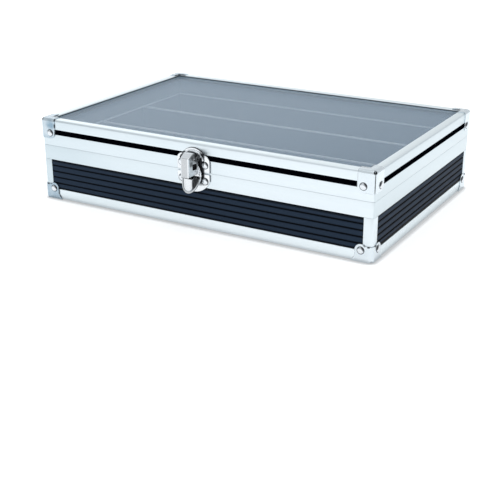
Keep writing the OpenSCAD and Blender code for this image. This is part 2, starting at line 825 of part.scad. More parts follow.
module latch_pin() {
  color("lightgray") translate([0, pivot_y, pivot_z]) rotate([0, 90, 0])
    cylinder(h = 2 * (ear_in + ear_t), r = latch_pin_r, center = true);
}

// Oval outline of the lever about its bend, drawn in by s, with unlike upper and lower halves
module oval(s = 0) {
  polygon([for (i = [0:$fn - 1]) let (a = i * 360 / $fn)
    [(lever_hw - s) * cos(a), ((a < 180 ? oval_up : tab_len) - s) * sin(a)]]);
}

// Carries an outline, drawn as (X, height over the pivot), outwards between two distances
module from_lever(from, to) {
  translate([0, -from, 0]) rotate([90, 0, 0]) linear_extrude(to - from) children();
}

// Stands its children, drawn about the lever's bend, on the flat part or on the tab
module on_tab() {
  translate([0, -lever_back, -bend_drop]) rotate([-tab_flare, 0, 0]) children();
}

// Sheet with a raised rim, cut from the part of the oval between two heights
module dish(low, high) {
  from_lever(0, lever_t) intersection() {
    oval();
    span([-lever_hw, low], [lever_hw, high]);
  }
  from_lever(0, lever_t + lever_rim) intersection() {
    difference() {
      oval();
      oval(lever_rim_w);
    }
    span([-lever_hw, low], [lever_hw, high]);
  }
}

// Tapered body of the hood, drawn in by s and run on by extra at its foot and mouth
module hood_body(s = 0, extra = 0) {
  hull() {
    from_lever(lever_face - extra, lever_face - extra + sliver)
      span([s - hood_foot_hw, hood_undercut - hood_drop - extra], [hood_foot_hw - s, foot_rise - s]);
    rotate([0, 90, 0]) cylinder(h = 2 * (hood_top_hw - s), r = hood_top_r - s, center = true);
    from_lever(hood_out - s - sliver, hood_out - s)
      span([s - hood_front_hw, -hood_drop - extra], [hood_front_hw - s, hood_rise - s]);
  }
}

// Pressed lever that hangs from the lid plate, with a hood, a thumb ridge and a catch lip behind
module latch_lever() {
  color("whitesmoke") translate([0, pivot_y, pivot_z]) difference() {
    union() {
      translate([0, -lever_back, -bend_drop]) dish(0, oval_up);
      on_tab() dish(-tab_len, 0);
      difference() {
        hood_body();
        hood_body(hood_t, cut);
        translate([0, slot_in - hood_out, -slot_drop])
          box([-lever_hw, 0, -slot_h / 2], [lever_hw, slot_w, slot_h / 2]);
      }
      rotate([0, 90, 0]) cylinder(h = 2 * (hood_foot_hw - hood_t), r = eye_r, center = true);
      intersection() {
        from_lever(lever_face, ridge_out) {
          translate([0, ridge_hw - ridge_end]) circle(ridge_hw);
          span([-ridge_hw, ridge_hw - ridge_end], [ridge_hw, -ridge_drop]);
        }
        on_tab() box([-lever_hw, -2 * hood_out, -tab_len], [lever_hw, -lever_t / 2, tab_len]);
      }
      intersection() {
        box([-nose_hw, lever_back, -lip_top - lip_t],
            [nose_hw, pivot_out - nose_out - lip_clear, -lip_top]);
        on_tab() box([-lever_hw, -lever_t / 2, -tab_len], [lever_hw, pivot_out, tab_len]);
      }
    }
    rotate([0, 90, 0]) cylinder(h = 4 * lever_hw, r = latch_pin_r + pin_fit, center = true);
  }
}

base_board();
wall("front");  // wall_front
wall("back");  // wall_back
wall("left");  // wall_left
wall("right");  // wall_right
panel("front");  // panel_front
panel("back");  // panel_back
panel("left");  // panel_left
panel("right");  // panel_right
bottom_rail("front");  // bottom_rail_front
bottom_rail("back");  // bottom_rail_back
bottom_rail("left");  // bottom_rail_left
bottom_rail("right");  // bottom_rail_right
corner_post("fl");  // corner_post_fl
corner_post("fr");  // corner_post_fr
corner_post("bl");  // corner_post_bl
corner_post("br");  // corner_post_br
base_rim("front");  // base_rim_front
base_rim("back");  // base_rim_back
base_rim("left");  // base_rim_left
base_rim("right");  // base_rim_right
base_corner("fl");  // base_corner_fl
base_corner("fr");  // base_corner_fr
base_corner("bl");  // base_corner_bl
base_corner("br");  // base_corner_br
base_corner_rivets();
wall_lining();
floor_pad();
divider(1);  // divider_front
divider(2);  // divider_rear
hinge_base_leaf(-hinge_x);  // hinge_base_leaf_left
hinge_base_leaf(hinge_x);  // hinge_base_leaf_right
hinge_pins();
hinge_base_rivets();
latch_base_plate();
latch_base_rivets();
lid_frame("front");  // lid_frame_front
lid_frame("back");  // lid_frame_back
lid_frame("left");  // lid_frame_left
lid_frame("right");  // lid_frame_right
window_pane();
glazing_gasket();
lid_stripe("front");  // lid_stripe_front
lid_stripe("back");  // lid_stripe_back
lid_stripe("left");  // lid_stripe_left
lid_stripe("right");  // lid_stripe_right
lid_corner("fl");  // lid_corner_fl
lid_corner("fr");  // lid_corner_fr
lid_corner("bl");  // lid_corner_bl
lid_corner("br");  // lid_corner_br
lid_corner_rivets();
lid_lining();
hinge_lid_leaf(-hinge_x);  // hinge_lid_leaf_left
hinge_lid_leaf(hinge_x);  // hinge_lid_leaf_right
hinge_lid_rivets();
latch_lid_plate();
latch_lid_rivets();
latch_pin();
latch_lever();
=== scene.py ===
import math
import bmesh
import bpy
import mathutils
import numpy as np
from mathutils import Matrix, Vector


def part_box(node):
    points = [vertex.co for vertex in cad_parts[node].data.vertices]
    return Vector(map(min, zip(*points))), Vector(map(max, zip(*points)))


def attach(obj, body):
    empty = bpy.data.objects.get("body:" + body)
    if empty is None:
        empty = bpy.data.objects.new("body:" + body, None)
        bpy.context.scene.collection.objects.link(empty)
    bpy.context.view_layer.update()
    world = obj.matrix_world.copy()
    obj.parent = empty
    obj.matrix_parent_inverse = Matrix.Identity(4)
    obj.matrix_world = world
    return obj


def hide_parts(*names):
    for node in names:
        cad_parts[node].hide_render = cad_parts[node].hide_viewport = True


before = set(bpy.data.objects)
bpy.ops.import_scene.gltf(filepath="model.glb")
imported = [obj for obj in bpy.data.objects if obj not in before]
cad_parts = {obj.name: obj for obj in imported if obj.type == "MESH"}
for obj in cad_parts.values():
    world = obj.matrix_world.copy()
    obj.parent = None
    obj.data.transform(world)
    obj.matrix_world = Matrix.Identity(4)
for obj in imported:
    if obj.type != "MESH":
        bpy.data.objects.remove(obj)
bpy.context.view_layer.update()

# The wooden shell: a rebated bottom board lies on the feet of the rails and four upright boards
# stand round it. They are fine fibreboard, sawn square; only the bottom board's underside shows.
MM = 0.001
SIDES = {"front": 0, "right": 90, "back": 180, "left": 270}
HALF_LONG, HALF_DEEP = 146.9, 99.4
BOARD_IN, LEG_IN, REBATE_IN = 2.2, 6.2, 13.7
FOOT_TOP, FLOOR_TOP, WEB_BOTTOM = 1.8, 4.8, 44.2


def halves(side):
    """Half the run of a side along the profiles' faces, and its distance from the middle."""
    return (HALF_LONG, HALF_DEEP) if side in ("front", "back") else (HALF_DEEP, HALF_LONG)


def to_side(shape, side):
    """Shape drawn for the front, turned about the upright axis to one side of the case."""
    points, faces = shape
    turn = math.radians(SIDES[side])
    c, s = math.cos(turn), math.sin(turn)
    x, y, z = points.T
    return np.column_stack([c * x - s * y, s * x + c * y, z]), faces


def loft(rings):
    """Closed surface through rings[station, point]: quads between neighbouring stations, one flat
    face over the first ring and one over the last."""
    stations, around = rings.shape[:2]
    spot = np.arange(stations * around).reshape(stations, around)
    ahead = np.roll(spot, -1, 1)
    quads = np.stack([spot[:-1], ahead[:-1], ahead[1:], spot[1:]], -1).reshape(-1, 4)
    return rings.reshape(-1, 3), quads.tolist() + [spot[0, ::-1].tolist(), spot[-1].tolist()]


def rounded(corners, steps=4):
    """Outline through corners, (x, y, radius), that are arcs. An arc's centre lies on the corner's
    bisector, radius / sin(half angle) away, and its points turn evenly from one touching point to
    the other."""
    corners = np.array(corners, float)
    corners, radii = corners[:, :2], corners[:, 2:]
    back = np.roll(corners, 1, 0) - corners
    on = np.roll(corners, -1, 0) - corners
    back /= np.linalg.norm(back, axis=1, keepdims=True)
    on /= np.linalg.norm(on, axis=1, keepdims=True)
    half = np.arccos(np.clip((back * on).sum(1, keepdims=True), -1, 1)) / 2
    reach = radii / np.tan(half)
    bisector = (back + on) / np.linalg.norm(back + on, axis=1, keepdims=True)
    centre = corners + bisector * radii / np.sin(half)
    first, last = corners + back * reach - centre, corners + on * reach - centre
    sweep = (math.pi - 2 * half)[:, None]
    k = np.linspace(0, 1, steps + 1)[None, :, None]
    arc = (np.sin((1 - k) * sweep) * first[:, None] + np.sin(k * sweep) * last[:, None]) / np.sin(sweep)
    points = (centre[:, None] + arc).reshape(-1, 2)
    return points[np.linalg.norm(points - np.roll(points, 1, 0), axis=1) > 1e-6]


def rectangle(low, high, radius=0.0):
    """Rectangle from its low and high corners, with rounded corners."""
    (x0, y0), (x1, y1) = low, high
    return rounded([(x0, y0, radius), (x1, y0, radius), (x1, y1, radius), (x0, y1, radius)])


def drawn_in(outline, by):
    """Outline, in counterclockwise order, with each edge moved inwards by the same distance."""
    edge = np.roll(outline, -1, 0) - outline
    edge /= np.linalg.norm(edge, axis=1, keepdims=True)
    inward = np.stack([-edge[:, 1], edge[:, 0]], 1)
    before = np.roll(inward, 1, 0)
    return outline + by * (before + inward) / (1 + (before * inward).sum(1, keepdims=True))


def slab(outline, low, high, edge=0.3):
    """Plate between two heights: the outline is drawn in along a quarter round at each rim."""
    turn = np.linspace(0, math.pi / 2, 4)
    inset = np.concatenate([edge * (1 - np.sin(turn)), edge * (1 - np.cos(turn))])
    height = np.concatenate([low + edge * (1 - np.cos(turn)), high - edge * (1 - np.sin(turn))])
    rings = [np.column_stack([drawn_in(outline, i), np.full(len(outline), h)]) for i, h in zip(inset, height)]
    return loft(np.array(rings))


def placed(name, data):
    """A new object in the scene, at the origin."""
    made = bpy.data.objects.new(name, data)
    bpy.context.scene.collection.objects.link(made)
    return made


def piece(name, shapes, body, finish, stands_for, sharp=35, painted_shade=None):
    """One object from closed shapes in millimetres: doubled points merged, faces outwards. It stands
    for one CAD node. painted_shade(points) gives each point's share of painted shade, kept as an attribute."""
    whole = bmesh.new()
    for points, faces in shapes:
        shell = bpy.data.meshes.new("shell")
        shell.from_pydata((np.asarray(points) * MM).tolist(), [], faces)
        clean = bmesh.new()
        clean.from_mesh(shell)
        bmesh.ops.remove_doubles(clean, verts=clean.verts, dist=1e-6)
        bmesh.ops.dissolve_degenerate(clean, edges=clean.edges, dist=1e-7)
        bmesh.ops.recalc_face_normals(clean, faces=clean.faces)
        clean.to_mesh(shell)
        clean.free()
        whole.from_mesh(shell)
        bpy.data.meshes.remove(shell)
    mesh = bpy.data.meshes.new(name)
    whole.to_mesh(mesh)
    whole.free()
    mesh.shade_smooth()
    mesh.set_sharp_from_angle(angle=math.radians(sharp))
    if painted_shade:
        at = np.empty(3 * len(mesh.vertices))
        mesh.vertices.foreach_get("co", at)
        share = mesh.attributes.new("painted_shade", "FLOAT", "POINT")
        share.data.foreach_set("value", np.clip(painted_shade(at.reshape(-1, 3) / MM), 0, 1))
    mesh.materials.append(finish)
    made = placed(name, mesh)
    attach(made, body)
    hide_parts(stands_for)
    return made


class Wire:
    """One socket of a material. Arithmetic on it adds Math nodes; node() adds any other node."""

    def __init__(self, tree, socket):
        self.tree, self.socket = tree, socket

    def node(self, kind, settings=None, values=None, out=0):
        """Adds a node: its settings first, then the values or links of its sockets by name or
        place. Returns its output by name or place."""
        made = self.tree.nodes.new(kind)
        for key, value in (settings or {}).items():
            setattr(made, key, value)
        for key, value in (values or {}).items():
            if isinstance(value, Wire):
                self.tree.links.new(value.socket, made.inputs[key])
            else:
                made.inputs[key].default_value = value
        return Wire(self.tree, made.outputs[out])

    def math(self, operation, *others):
        return self.node("ShaderNodeMath", {"operation": operation}, dict(enumerate((self, *others))))

    def __add__(self, other):
        return self.math("ADD", other)

    def __sub__(self, other):
        return self.math("SUBTRACT", other)

    def __mul__(self, other):
        return self.math("MULTIPLY", other)

    def __truediv__(self, other):
        return self.math("DIVIDE", other)

    def __pow__(self, other):
        return self.math("POWER", other)

    def __abs__(self):
        return self.math("ABSOLUTE")

    def __neg__(self):
        return self * -1

    def __rsub__(self, other):
        return -self + other

    __radd__, __rmul__ = __add__, __mul__

    def most(self, *others):
        """The largest of this share and others."""
        wire = self
        for other in others:
            wire = wire.math("MAXIMUM", other)
        return wire

    def between(self, low, high):
        """0 below low, 1 above high, and smooth between them."""
        values = {"Value": self, "From Min": low, "From Max": high}
        return self.node("ShaderNodeMapRange", {"interpolation_type": "SMOOTHSTEP"}, values)

    def below(self, low, high):
        """1 below low, 0 above high, and smooth between them."""
        return 1 - self.between(low, high)

    def axis(self, name):
        return self.node("ShaderNodeSeparateXYZ", None, {"Vector": self}, out=name)

    def in_mm(self):
        """The three parts of a place in metres, in millimetres."""
        return [self.axis(name) / MM for name in "XYZ"]

    def scaled(self, x, y, z):
        return self.node("ShaderNodeMapping", None, {"Vector": self, "Scale": (x, y, z)}, out="Vector")

    def noise(self, scale, detail=4.0, rough=0.5):
        values = {"Vector": self, "Scale": scale, "Detail": detail, "Roughness": rough}
        return self.node("ShaderNodeTexNoise", None, values, out="Fac")

    def tint(self, low, high):
        """Colour between two colours, plain or wired: 6, 7 and 2 are the Mix node's colour sockets."""
        low, high = (value if isinstance(value, Wire) else (*value, 1) for value in (low, high))
        return self.node("ShaderNodeMix", {"data_type": "RGBA"}, {"Factor": self, 6: low, 7: high}, out=2)

    def shaded_by(self, share, shade_tint=(0.012, 0.013, 0.018)):
        """This colour with a share of painted shade over it."""
        return share.tint(self, shade_tint)

    def bump(self, depth, strength=1.0):
        values = {"Height": self, "Distance": depth * MM, "Strength": strength}
        return self.node("ShaderNodeBump", None, values, out="Normal")


def finish(name, constants, surface):
    """Material with fixed shader values and, from surface(place), the values that change over it.
    place is the point on the object in metres."""
    made = bpy.data.materials.new(name)
    made.use_nodes = True
    tree = made.node_tree
    shader = tree.nodes["Principled BSDF"]
    for key, value in constants.items():
        shader.inputs[key].default_value = value
    place = Wire(tree, None).node("ShaderNodeTexCoord", out="Object")
    for key, wire in surface(place).items():
        tree.links.new(wire.socket, shader.inputs[key])
    return made


def board_surface(place):
    """Pale brown, fibrous and cloudy."""
    fibre = place.scaled(1, 1, 3).noise(900, 6, 0.7)
    cloud = place.noise(30, 3)
    return {
        "Base Color": (fibre * 0.6 + cloud * 0.4).tint((0.30, 0.20, 0.11), (0.52, 0.39, 0.25)),
        "Normal": fibre.bump(0.1, 0.5),
    }


def case_plan(inset, radius=0.0):
    """Rectangle in plan at a distance inside the profiles' faces."""
    x, y = HALF_LONG - inset, HALF_DEEP - inset
    return rectangle((-x, -y), (x, y), radius)


board_finish = finish("fibreboard", {"Roughness": 0.8}, board_surface)
bottom = [slab(case_plan(LEG_IN), FOOT_TOP, FLOOR_TOP), slab(case_plan(REBATE_IN), 0.02, FOOT_TOP + 0.5)]
piece("bottom_board", bottom, "base", board_finish, "base_board")
for side in SIDES:
    run, out = halves(side)
    run -= BOARD_IN if side in ("front", "back") else LEG_IN
    board = slab(rectangle((-run, BOARD_IN - out), (run, LEG_IN - out)), FOOT_TOP, WEB_BOTTOM)
    piece(f"wall_board_{side}", [to_side(board, side)], "base", board_finish, f"wall_{side}")

# The dark outer panels: satin black plastic sheet with five level ribs, pushed in behind the posts
# and the bands before the frame is closed. The ribs have rounded shoulders and dark grooves.
RAIL_TOP, RIM_BOTTOM = 8.6, 33.4
PROFILE_WALL, POST_WIDE = 1.2, 7.6
RIBS, RIB_OUT, GROOVE = 5, 0.8, 0.7
RIB_PITCH = (RIM_BOTTOM - RAIL_TOP) / RIBS


def ribbed_section():
    """Outline of the panel, (inset, height): a flat back and rounded ribs in front."""
    face = PROFILE_WALL - RIB_OUT
    corners = [(BOARD_IN, FOOT_TOP, 0), (BOARD_IN, WEB_BOTTOM, 0), (PROFILE_WALL, WEB_BOTTOM, 0)]
    for rib in range(RIBS - 1, -1, -1):
        low = RAIL_TOP + rib * RIB_PITCH + GROOVE / 2
        high = low + RIB_PITCH - GROOVE
        corners += [(PROFILE_WALL, high, 0.15), (face, high, 0.42)]
        corners += [(face, low, 0.42), (PROFILE_WALL, low, 0.15)]
    return rounded(corners + [(PROFILE_WALL, FOOT_TOP, 0)])


def straight_run(section, side, half):
    """Section, (inset, height), carried straight along one side from -half to half."""
    rings = [np.column_stack([np.full(len(section), x), section[:, 0] - halves(side)[1], section[:, 1]])
             for x in (-half, half)]
    return to_side(loft(np.array(rings)), side)


def panel_surface(place):
    """Blue-black, with painted light and shade: lighter over the middle of each rib, black down in the
    grooves, along the rail and under the band. Painted light makes the short sides' ribs lighter over more of
    their height; the long sides' ribs are lighter towards the left."""
    x, _, z = place.in_mm()
    grain, cloud = place.noise(1400, 3), place.noise(14, 2)
    short = abs(x).between(144, 145)
    # Painted light and shade on the ribs: lit middles, dark grooves, a dark strip along the rail, painted
    # shadow under the band, and lighter short sides.
    from_groove = 0.5 - abs(((z - RAIL_TOP) / RIB_PITCH).math("FRACT") - 0.5)
    rib = from_groove.between(0.05, 0.26) * (1 - short) + from_groove.between(0.05, 0.40) * short
    above_rail = (z - short).between(RAIL_TOP + 1.0, RAIL_TOP + 2.0)
    under_band = z.between(RIM_BOTTOM - 2.8, RIM_BOTTOM - 1.4) * (0.9 - short * 0.5)
    # The long sides are lighter towards the left.
    lighter_left = x.below(-150, 0) * (1 - short)
    light = (cloud * 0.4 + 0.8) * (short * 0.45 + lighter_left * 0.4 + 0.9)
    rib_shading = rib * above_rail * (1 - under_band) * light + (1 - short) * 0.10
    return {
        "Base Color": rib_shading.tint((0.0010, 0.0016, 0.0030), (0.0205, 0.0345, 0.0590)),
        "Roughness": grain * 0.12 + cloud * 0.08 + 0.42,
        "Normal": grain.bump(0.03, 0.4),
    }


panel_finish = finish("ribbed_black", {"Specular IOR Level": 0.05}, panel_surface)
for side in SIDES:
    shape = straight_run(ribbed_section(), side, halves(side)[0] - POST_WIDE + 0.6)
    piece(f"ribbed_panel_{side}", [shape], "base", panel_finish, f"panel_{side}")

# The aluminium frame of the base: drawn profiles, satin anodised, mitred at the corners. An angle
# runs along the bottom, four angles stand at the corners, and a band with a tongue caps the walls.
EDGE_R, MITRE_GAP, BRACKET_T, RAIL_FOOT = 2.5, 0.03, 0.6, 10.0
BASE_TOP, SKIRT_BOTTOM, TONGUE_TOP, TONGUE_IN, FRAME_TOP = 45.4, 38.4, 50.0, 7.2, 67.4
CORNERS = ("fl", "fr", "bl", "br")
METAL = {"Metallic": 1.0}
RAIL_SECTION = rounded([
    (0, BRACKET_T, 0.3), (0, RAIL_TOP, 0.3), (PROFILE_WALL, RAIL_TOP, 0.2), (PROFILE_WALL, FOOT_TOP, 0),
    (RAIL_FOOT, FOOT_TOP, 0.2), (RAIL_FOOT, BRACKET_T, 0.2),
])
BAND_SECTION = rounded([
    (0, RIM_BOTTOM, 0.3), (0, BASE_TOP, 0.12), (LEG_IN, BASE_TOP, 0), (LEG_IN, TONGUE_TOP, 0.3),
    (TONGUE_IN, TONGUE_TOP, 0.3), (TONGUE_IN, SKIRT_BOTTOM, 0.2), (LEG_IN, SKIRT_BOTTOM, 0.2),
    (LEG_IN, WEB_BOTTOM, 0), (PROFILE_WALL, WEB_BOTTOM, 0), (PROFILE_WALL, RIM_BOTTOM, 0.2),
])


def to_corner(shape, corner):
    """Shape drawn for the front right corner, mirrored to another corner."""
    points, faces = shape
    return points * [-1 if corner[1] == "l" else 1, -1 if corner[0] == "b" else 1, 1], faces


def mitred_run(section, side, steps=5):
    """Section, (inset, height), carried along one side and round half of each corner. At an inset
    below the edge radius the corner is an arc of what is left of the radius; deeper in it is sharp.
    The run stops short of the mitre by a hair."""
    run, out = halves(side)
    inset, height = section.T
    reach = np.maximum(EDGE_R, inset)
    radius = np.maximum(EDGE_R - inset, 0)
    turn = np.linspace(0, math.pi / 4, steps)
    turns = np.concatenate([-turn[::-1], turn])[:, None]
    way = np.repeat([-1, 1], steps)[:, None]
    x = way * (run - reach - MITRE_GAP) + radius * np.sin(turns)
    y = -(out - reach) - radius * np.cos(turns)
    return to_side(loft(np.stack([x, y, np.broadcast_to(height, x.shape)], -1)), side)


def drawn_metal(along):
    """Anodised aluminium with faint draw lines along one axis, soft clouds and a few dull specks. Painted
    shade makes it darker towards the left and greyer below the seam towards the left; painted light makes it
    paler on the rails and on the lid's top, and the sides along y get darker, shaded tones."""
    stretch = [2 if axis == along else 700 for axis in "xyz"]
    tones = ((0.60, 0.685, 0.73), (0.80, 0.86, 0.90))
    # Painted shade: the sides along y get darker tones.
    if along == "y":
        tones = ((0.56, 0.64, 0.68), (0.68, 0.75, 0.785))

    def surface(place):
        x, _, z = place.in_mm()
        lines = place.scaled(*stretch).noise(1.0, 3, 0.6)
        cloud = place.noise(18, 3)
        speck = place.noise(420, 2).between(0.66, 0.74)
        # Painted shade: greyer below the seam towards the left; the tone below also darkens towards the left.
        seam_shade = z.below(BASE_TOP - 0.4, BASE_TOP + 0.2) * x.below(-147, -50) * 0.35
        tone = cloud * 0.35 + lines * 0.25 + x.between(-160, 100) * 0.4 - seam_shade
        # Painted light: paler on the rails and on the lid's top.
        on_rail = z.below(RAIL_TOP + 0.9, RAIL_TOP + 1.9)
        painted_light = z.between(FRAME_TOP - 1.2, FRAME_TOP - 0.2) + on_rail * 0.55
        return {
            "Base Color": painted_light.tint(tone.tint(*tones), (0.86, 0.93, 0.96)),
            "Roughness": lines * 0.10 + cloud * 0.08 + speck * 0.10 + 0.24,
            "Normal": lines.bump(0.02, 0.25),
        }

    return surface


along_finish = {axis: finish(f"aluminium_along_{axis}", METAL, drawn_metal(axis)) for axis in "xyz"}
side_finish = {side: along_finish["x" if side in ("front", "back") else "y"] for side in SIDES}
for side, metal in side_finish.items():
    rail, band = mitred_run(RAIL_SECTION, side), mitred_run(BAND_SECTION, side)
    piece(f"rail_{side}", [rail], "base", metal, f"bottom_rail_{side}")
    piece(f"band_{side}", [band], "base", metal, f"base_rim_{side}")
x, y = HALF_LONG, -HALF_DEEP
post_plan = rounded([
    (x - POST_WIDE, y, 0.3), (x, y, EDGE_R), (x, y + POST_WIDE, 0.3), (x - PROFILE_WALL, y + POST_WIDE, 0.2),
    (x - PROFILE_WALL, y + PROFILE_WALL, 0.4), (x - POST_WIDE, y + PROFILE_WALL, 0.2),
])
for corner in CORNERS:
    post = to_corner(slab(post_plan, RAIL_TOP, RIM_BOTTOM, 0.05), corner)
    piece(f"post_{corner}", [post], "base", along_finish["z"], f"corner_post_{corner}")

# The lower corner brackets: bright plated steel, pressed round the upright edge, with a round lobe
# at each rivet and a plate under the case that it stands on. Their ends spread out at the table.
CASE_X, CASE_Y = 147.5, 100.0
LEG, LOW_TALL, LOBE_R, LOBE_DIP, PRESS_EDGE = 14.0, 13.6, 4.7, 1.3, 0.22
WING_OUT, WING_TALL, FOOT_LIFT = 3.0, 4.6, 1.3
FACING_FRONT = ((1, 0, 0), (0, 0, 1), (0, -1, 0))
FACING_RIGHT = ((0, 1, 0), (0, 0, 1), (1, 0, 0))
MIRRORED_FRONT = ((-1, 0, 0), (0, 0, 1), (0, -1, 0))


def stood(shape, origin, facing):
    """Shape whose own X, Y and Z are laid along the three directions of a facing, from an origin."""
    points, faces = shape
    return np.asarray(origin, float) + points @ np.array(facing, float), faces


def painted_shade_on(place):
    """The share of painted shade kept with the mesh."""
    return place.node("ShaderNodeAttribute", {"attribute_name": "painted_shade"}, out="Fac")


def pressed_surface(place, front_shade=0.62, top_shade=0.0):
    """Plated steel with a bright sheen, darkened by the painted shade kept with the mesh and by a painted
    shadow line along the leaves' ends. Painted shade also makes the left brackets darker and bluish, by one
    share in front and one elsewhere."""
    x, y, z = place.in_mm()
    cloud, fine = place.noise(60, 3), place.noise(900, 3)
    left, front = x.below(-100, -90), y.below(-98, -96)
    wing = z.below(0, WING_TALL) * WING_OUT
    from_end = abs(abs(x) - CASE_X + LEG + wing) * front + (1 - front) * 9
    # Painted shadow line along the leaves' ends.
    end_shade = from_end.below(0.3, 0.8) * place.noise(330, 3).between(0.40, 0.55)
    painted_shade = painted_shade_on(place).most(end_shade * (left * 0.55 + 0.30))
    # Painted shade: the left brackets are darker and bluish.
    patch = place.noise(230, 2).between(0.25, 0.75) * 0.30 + 0.85
    left_shade = left * patch * (front * front_shade + (1 - front) * top_shade)
    plating = cloud.tint((0.64, 0.71, 0.76), (0.80, 0.855, 0.89))
    return {
        "Base Color": plating.shaded_by(left_shade, (0.18, 0.30, 0.40)).shaded_by(painted_shade),
        "Roughness": cloud * 0.10 + fine * 0.08 + painted_shade * 0.3 + 0.17,
        "Normal": cloud.bump(0.15, 0.25),
    }


def lobe(distance, tall, dip=0.0):
    """Height of a leg at a distance from its end: a half circle round the rivet, then level, lower
    than the circle by a dip."""
    over = np.clip(np.abs(LOBE_R - distance), 0, LOBE_R)
    circle = tall - LOBE_R + np.sqrt(LOBE_R**2 - over**2)
    return np.where(distance < LOBE_R, circle, np.maximum(circle, tall - dip))


def wrapped_leaf(steps=21):
    """Sheet folded round the upright edge. Along it runs the path end, straight, quarter turn,
    straight, end; across it is a rounded rectangle from the table to the lobe's height, with two
    points a hair inside its face that bound the lobe's painted shade. At the edge its foot is lifted by
    FOOT_LIFT * sin(twice the turn) squared."""
    bend = EDGE_R + BRACKET_T
    straight = LEG - bend
    quarter = np.linspace(0, math.pi / 2, steps)
    lead, level = straight * (1 - np.cos(quarter)), np.ones(steps)
    along = np.concatenate([lead, straight * level, straight * level])
    from_end = np.concatenate([lead, LEG * level, lead[::-1]])
    angle = np.concatenate([0 * level, quarter, math.pi / 2 * level])
    past = np.concatenate([0 * level, 0 * level, (straight - lead)[::-1]])
    rings = []
    for a, e, t, p in zip(along, from_end, angle, past):
        top, swell = float(lobe(e, LOW_TALL, LOBE_DIP)), math.sin(2 * t) ** 2
        foot = FOOT_LIFT * swell
        rim = rounded([
            (-BRACKET_T, foot, PRESS_EDGE), (0, foot, PRESS_EDGE + 0.5 * swell), (-0.004, top - 1.1, 0),
            (-0.004, top - 0.7, 0), (0, top, PRESS_EDGE), (-BRACKET_T, top, PRESS_EDGE),
        ])
        radius = bend + rim[:, 0]
        x = CASE_X - LEG + a + radius * math.sin(t)
        y = -CASE_Y + bend + p - radius * math.cos(t)
        rings.append(np.column_stack([x, y, rim[:, 1]]))
    return loft(np.array(rings))


def foot_plate():
    """Plate under the case, rounded at the case's corner, with its two inner corners cut off."""
    x, y, half = CASE_X - 0.4, -CASE_Y + 0.4, LEG / 2
    inner = [(x, y + LEG, 1), (x - half, y + LEG, 1), (x - LEG, y + half, 1)]
    return slab(rounded([(x - LEG, y, 1), (x, y, 5.5), *inner]), 0.0, BRACKET_T, 0.2)


def wings():
    """The leaf's two lower ends, which spread outwards to the table."""
    outline = np.array([(LEG - 1, 0), (LEG + WING_OUT, 0), (LEG, WING_TALL), (LEG - 1, WING_TALL)])
    wing = slab(outline, 0.0, BRACKET_T - 0.03, 0.15)
    return [stood(wing, (CASE_X, -CASE_Y + BRACKET_T, 0), MIRRORED_FRONT),
            stood(wing, (CASE_X - BRACKET_T, -CASE_Y, 0), FACING_RIGHT)]


def lobe_rim_shade(points):
    """Painted shade on the upper rim of the lobes, a shadow gap against the post."""
    x, y, z = np.abs(points).T
    end = np.where(y > x - CASE_X + CASE_Y, x - (CASE_X - LEG), y - (CASE_Y - LEG))
    rim = z > lobe(end, LOW_TALL, LOBE_DIP) - 0.8
    waves = np.clip(0.6 + np.sin(x * 1.9 + y * 1.3), 0, 1)
    return rim * waves * np.clip(end / LOBE_R - 0.9, 0, 0.95)


pressed_finish = finish("plated_steel", METAL, pressed_surface)
for corner in CORNERS:
    shapes = [to_corner(shape, corner) for shape in (wrapped_leaf(), foot_plate(), *wings())]
    piece(f"low_bracket_{corner}", shapes, "base", pressed_finish, f"base_corner_{corner}",
          painted_shade=lobe_rim_shade)

# The rivets: polished steel domes with a small shoulder, all from one die. Each shank goes through
# a bracket, leaf or plate and the profile behind it, and is set out of sight inside.
rivet_low, rivet_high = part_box("latch_base_rivets")
HEAD_R, HEAD_TALL, SHANK_R = (rivet_high[2] - rivet_low[2]) / MM / 2, 1.2, 1.5
RIVET_IN, LOW_RIVET_UP = 9.3, 8.8


def turned(profile, steps=24):
    """Profile, (radius, height), turned about the upright axis."""
    angle = np.linspace(0, 2 * math.pi, steps, endpoint=False)
    radius, height = np.asarray(profile, float).T
    level = np.repeat(height[:, None], steps, 1)
    return loft(np.stack([np.outer(radius, np.cos(angle)), np.outer(radius, np.sin(angle)), level], -1))


def rivet_shape(sheet):
    """Dome on a thin shoulder: height = shoulder + rest * cos(quarter turn * radius / dome radius)
    to the power 0.85. The shank goes through a sheet and a profile."""
    grip = sheet + PROFILE_WALL + 1.0
    quarter = np.linspace(0, math.pi / 2, 9)
    dome_r = (HEAD_R - 0.38) * np.sin(quarter)
    dome_h = 0.12 + (HEAD_TALL - 0.12) * np.cos(quarter) ** 0.85
    shoulder = [(HEAD_R - 0.33, 0.10), (HEAD_R - 0.03, 0.09), (HEAD_R, 0.0)]
    shank = [(SHANK_R, 0.0), (SHANK_R, 0.15 - grip), (SHANK_R - 0.15, -grip)]
    return turned([*zip(np.maximum(dome_r, 0.02), dome_h), *shoulder, *shank])


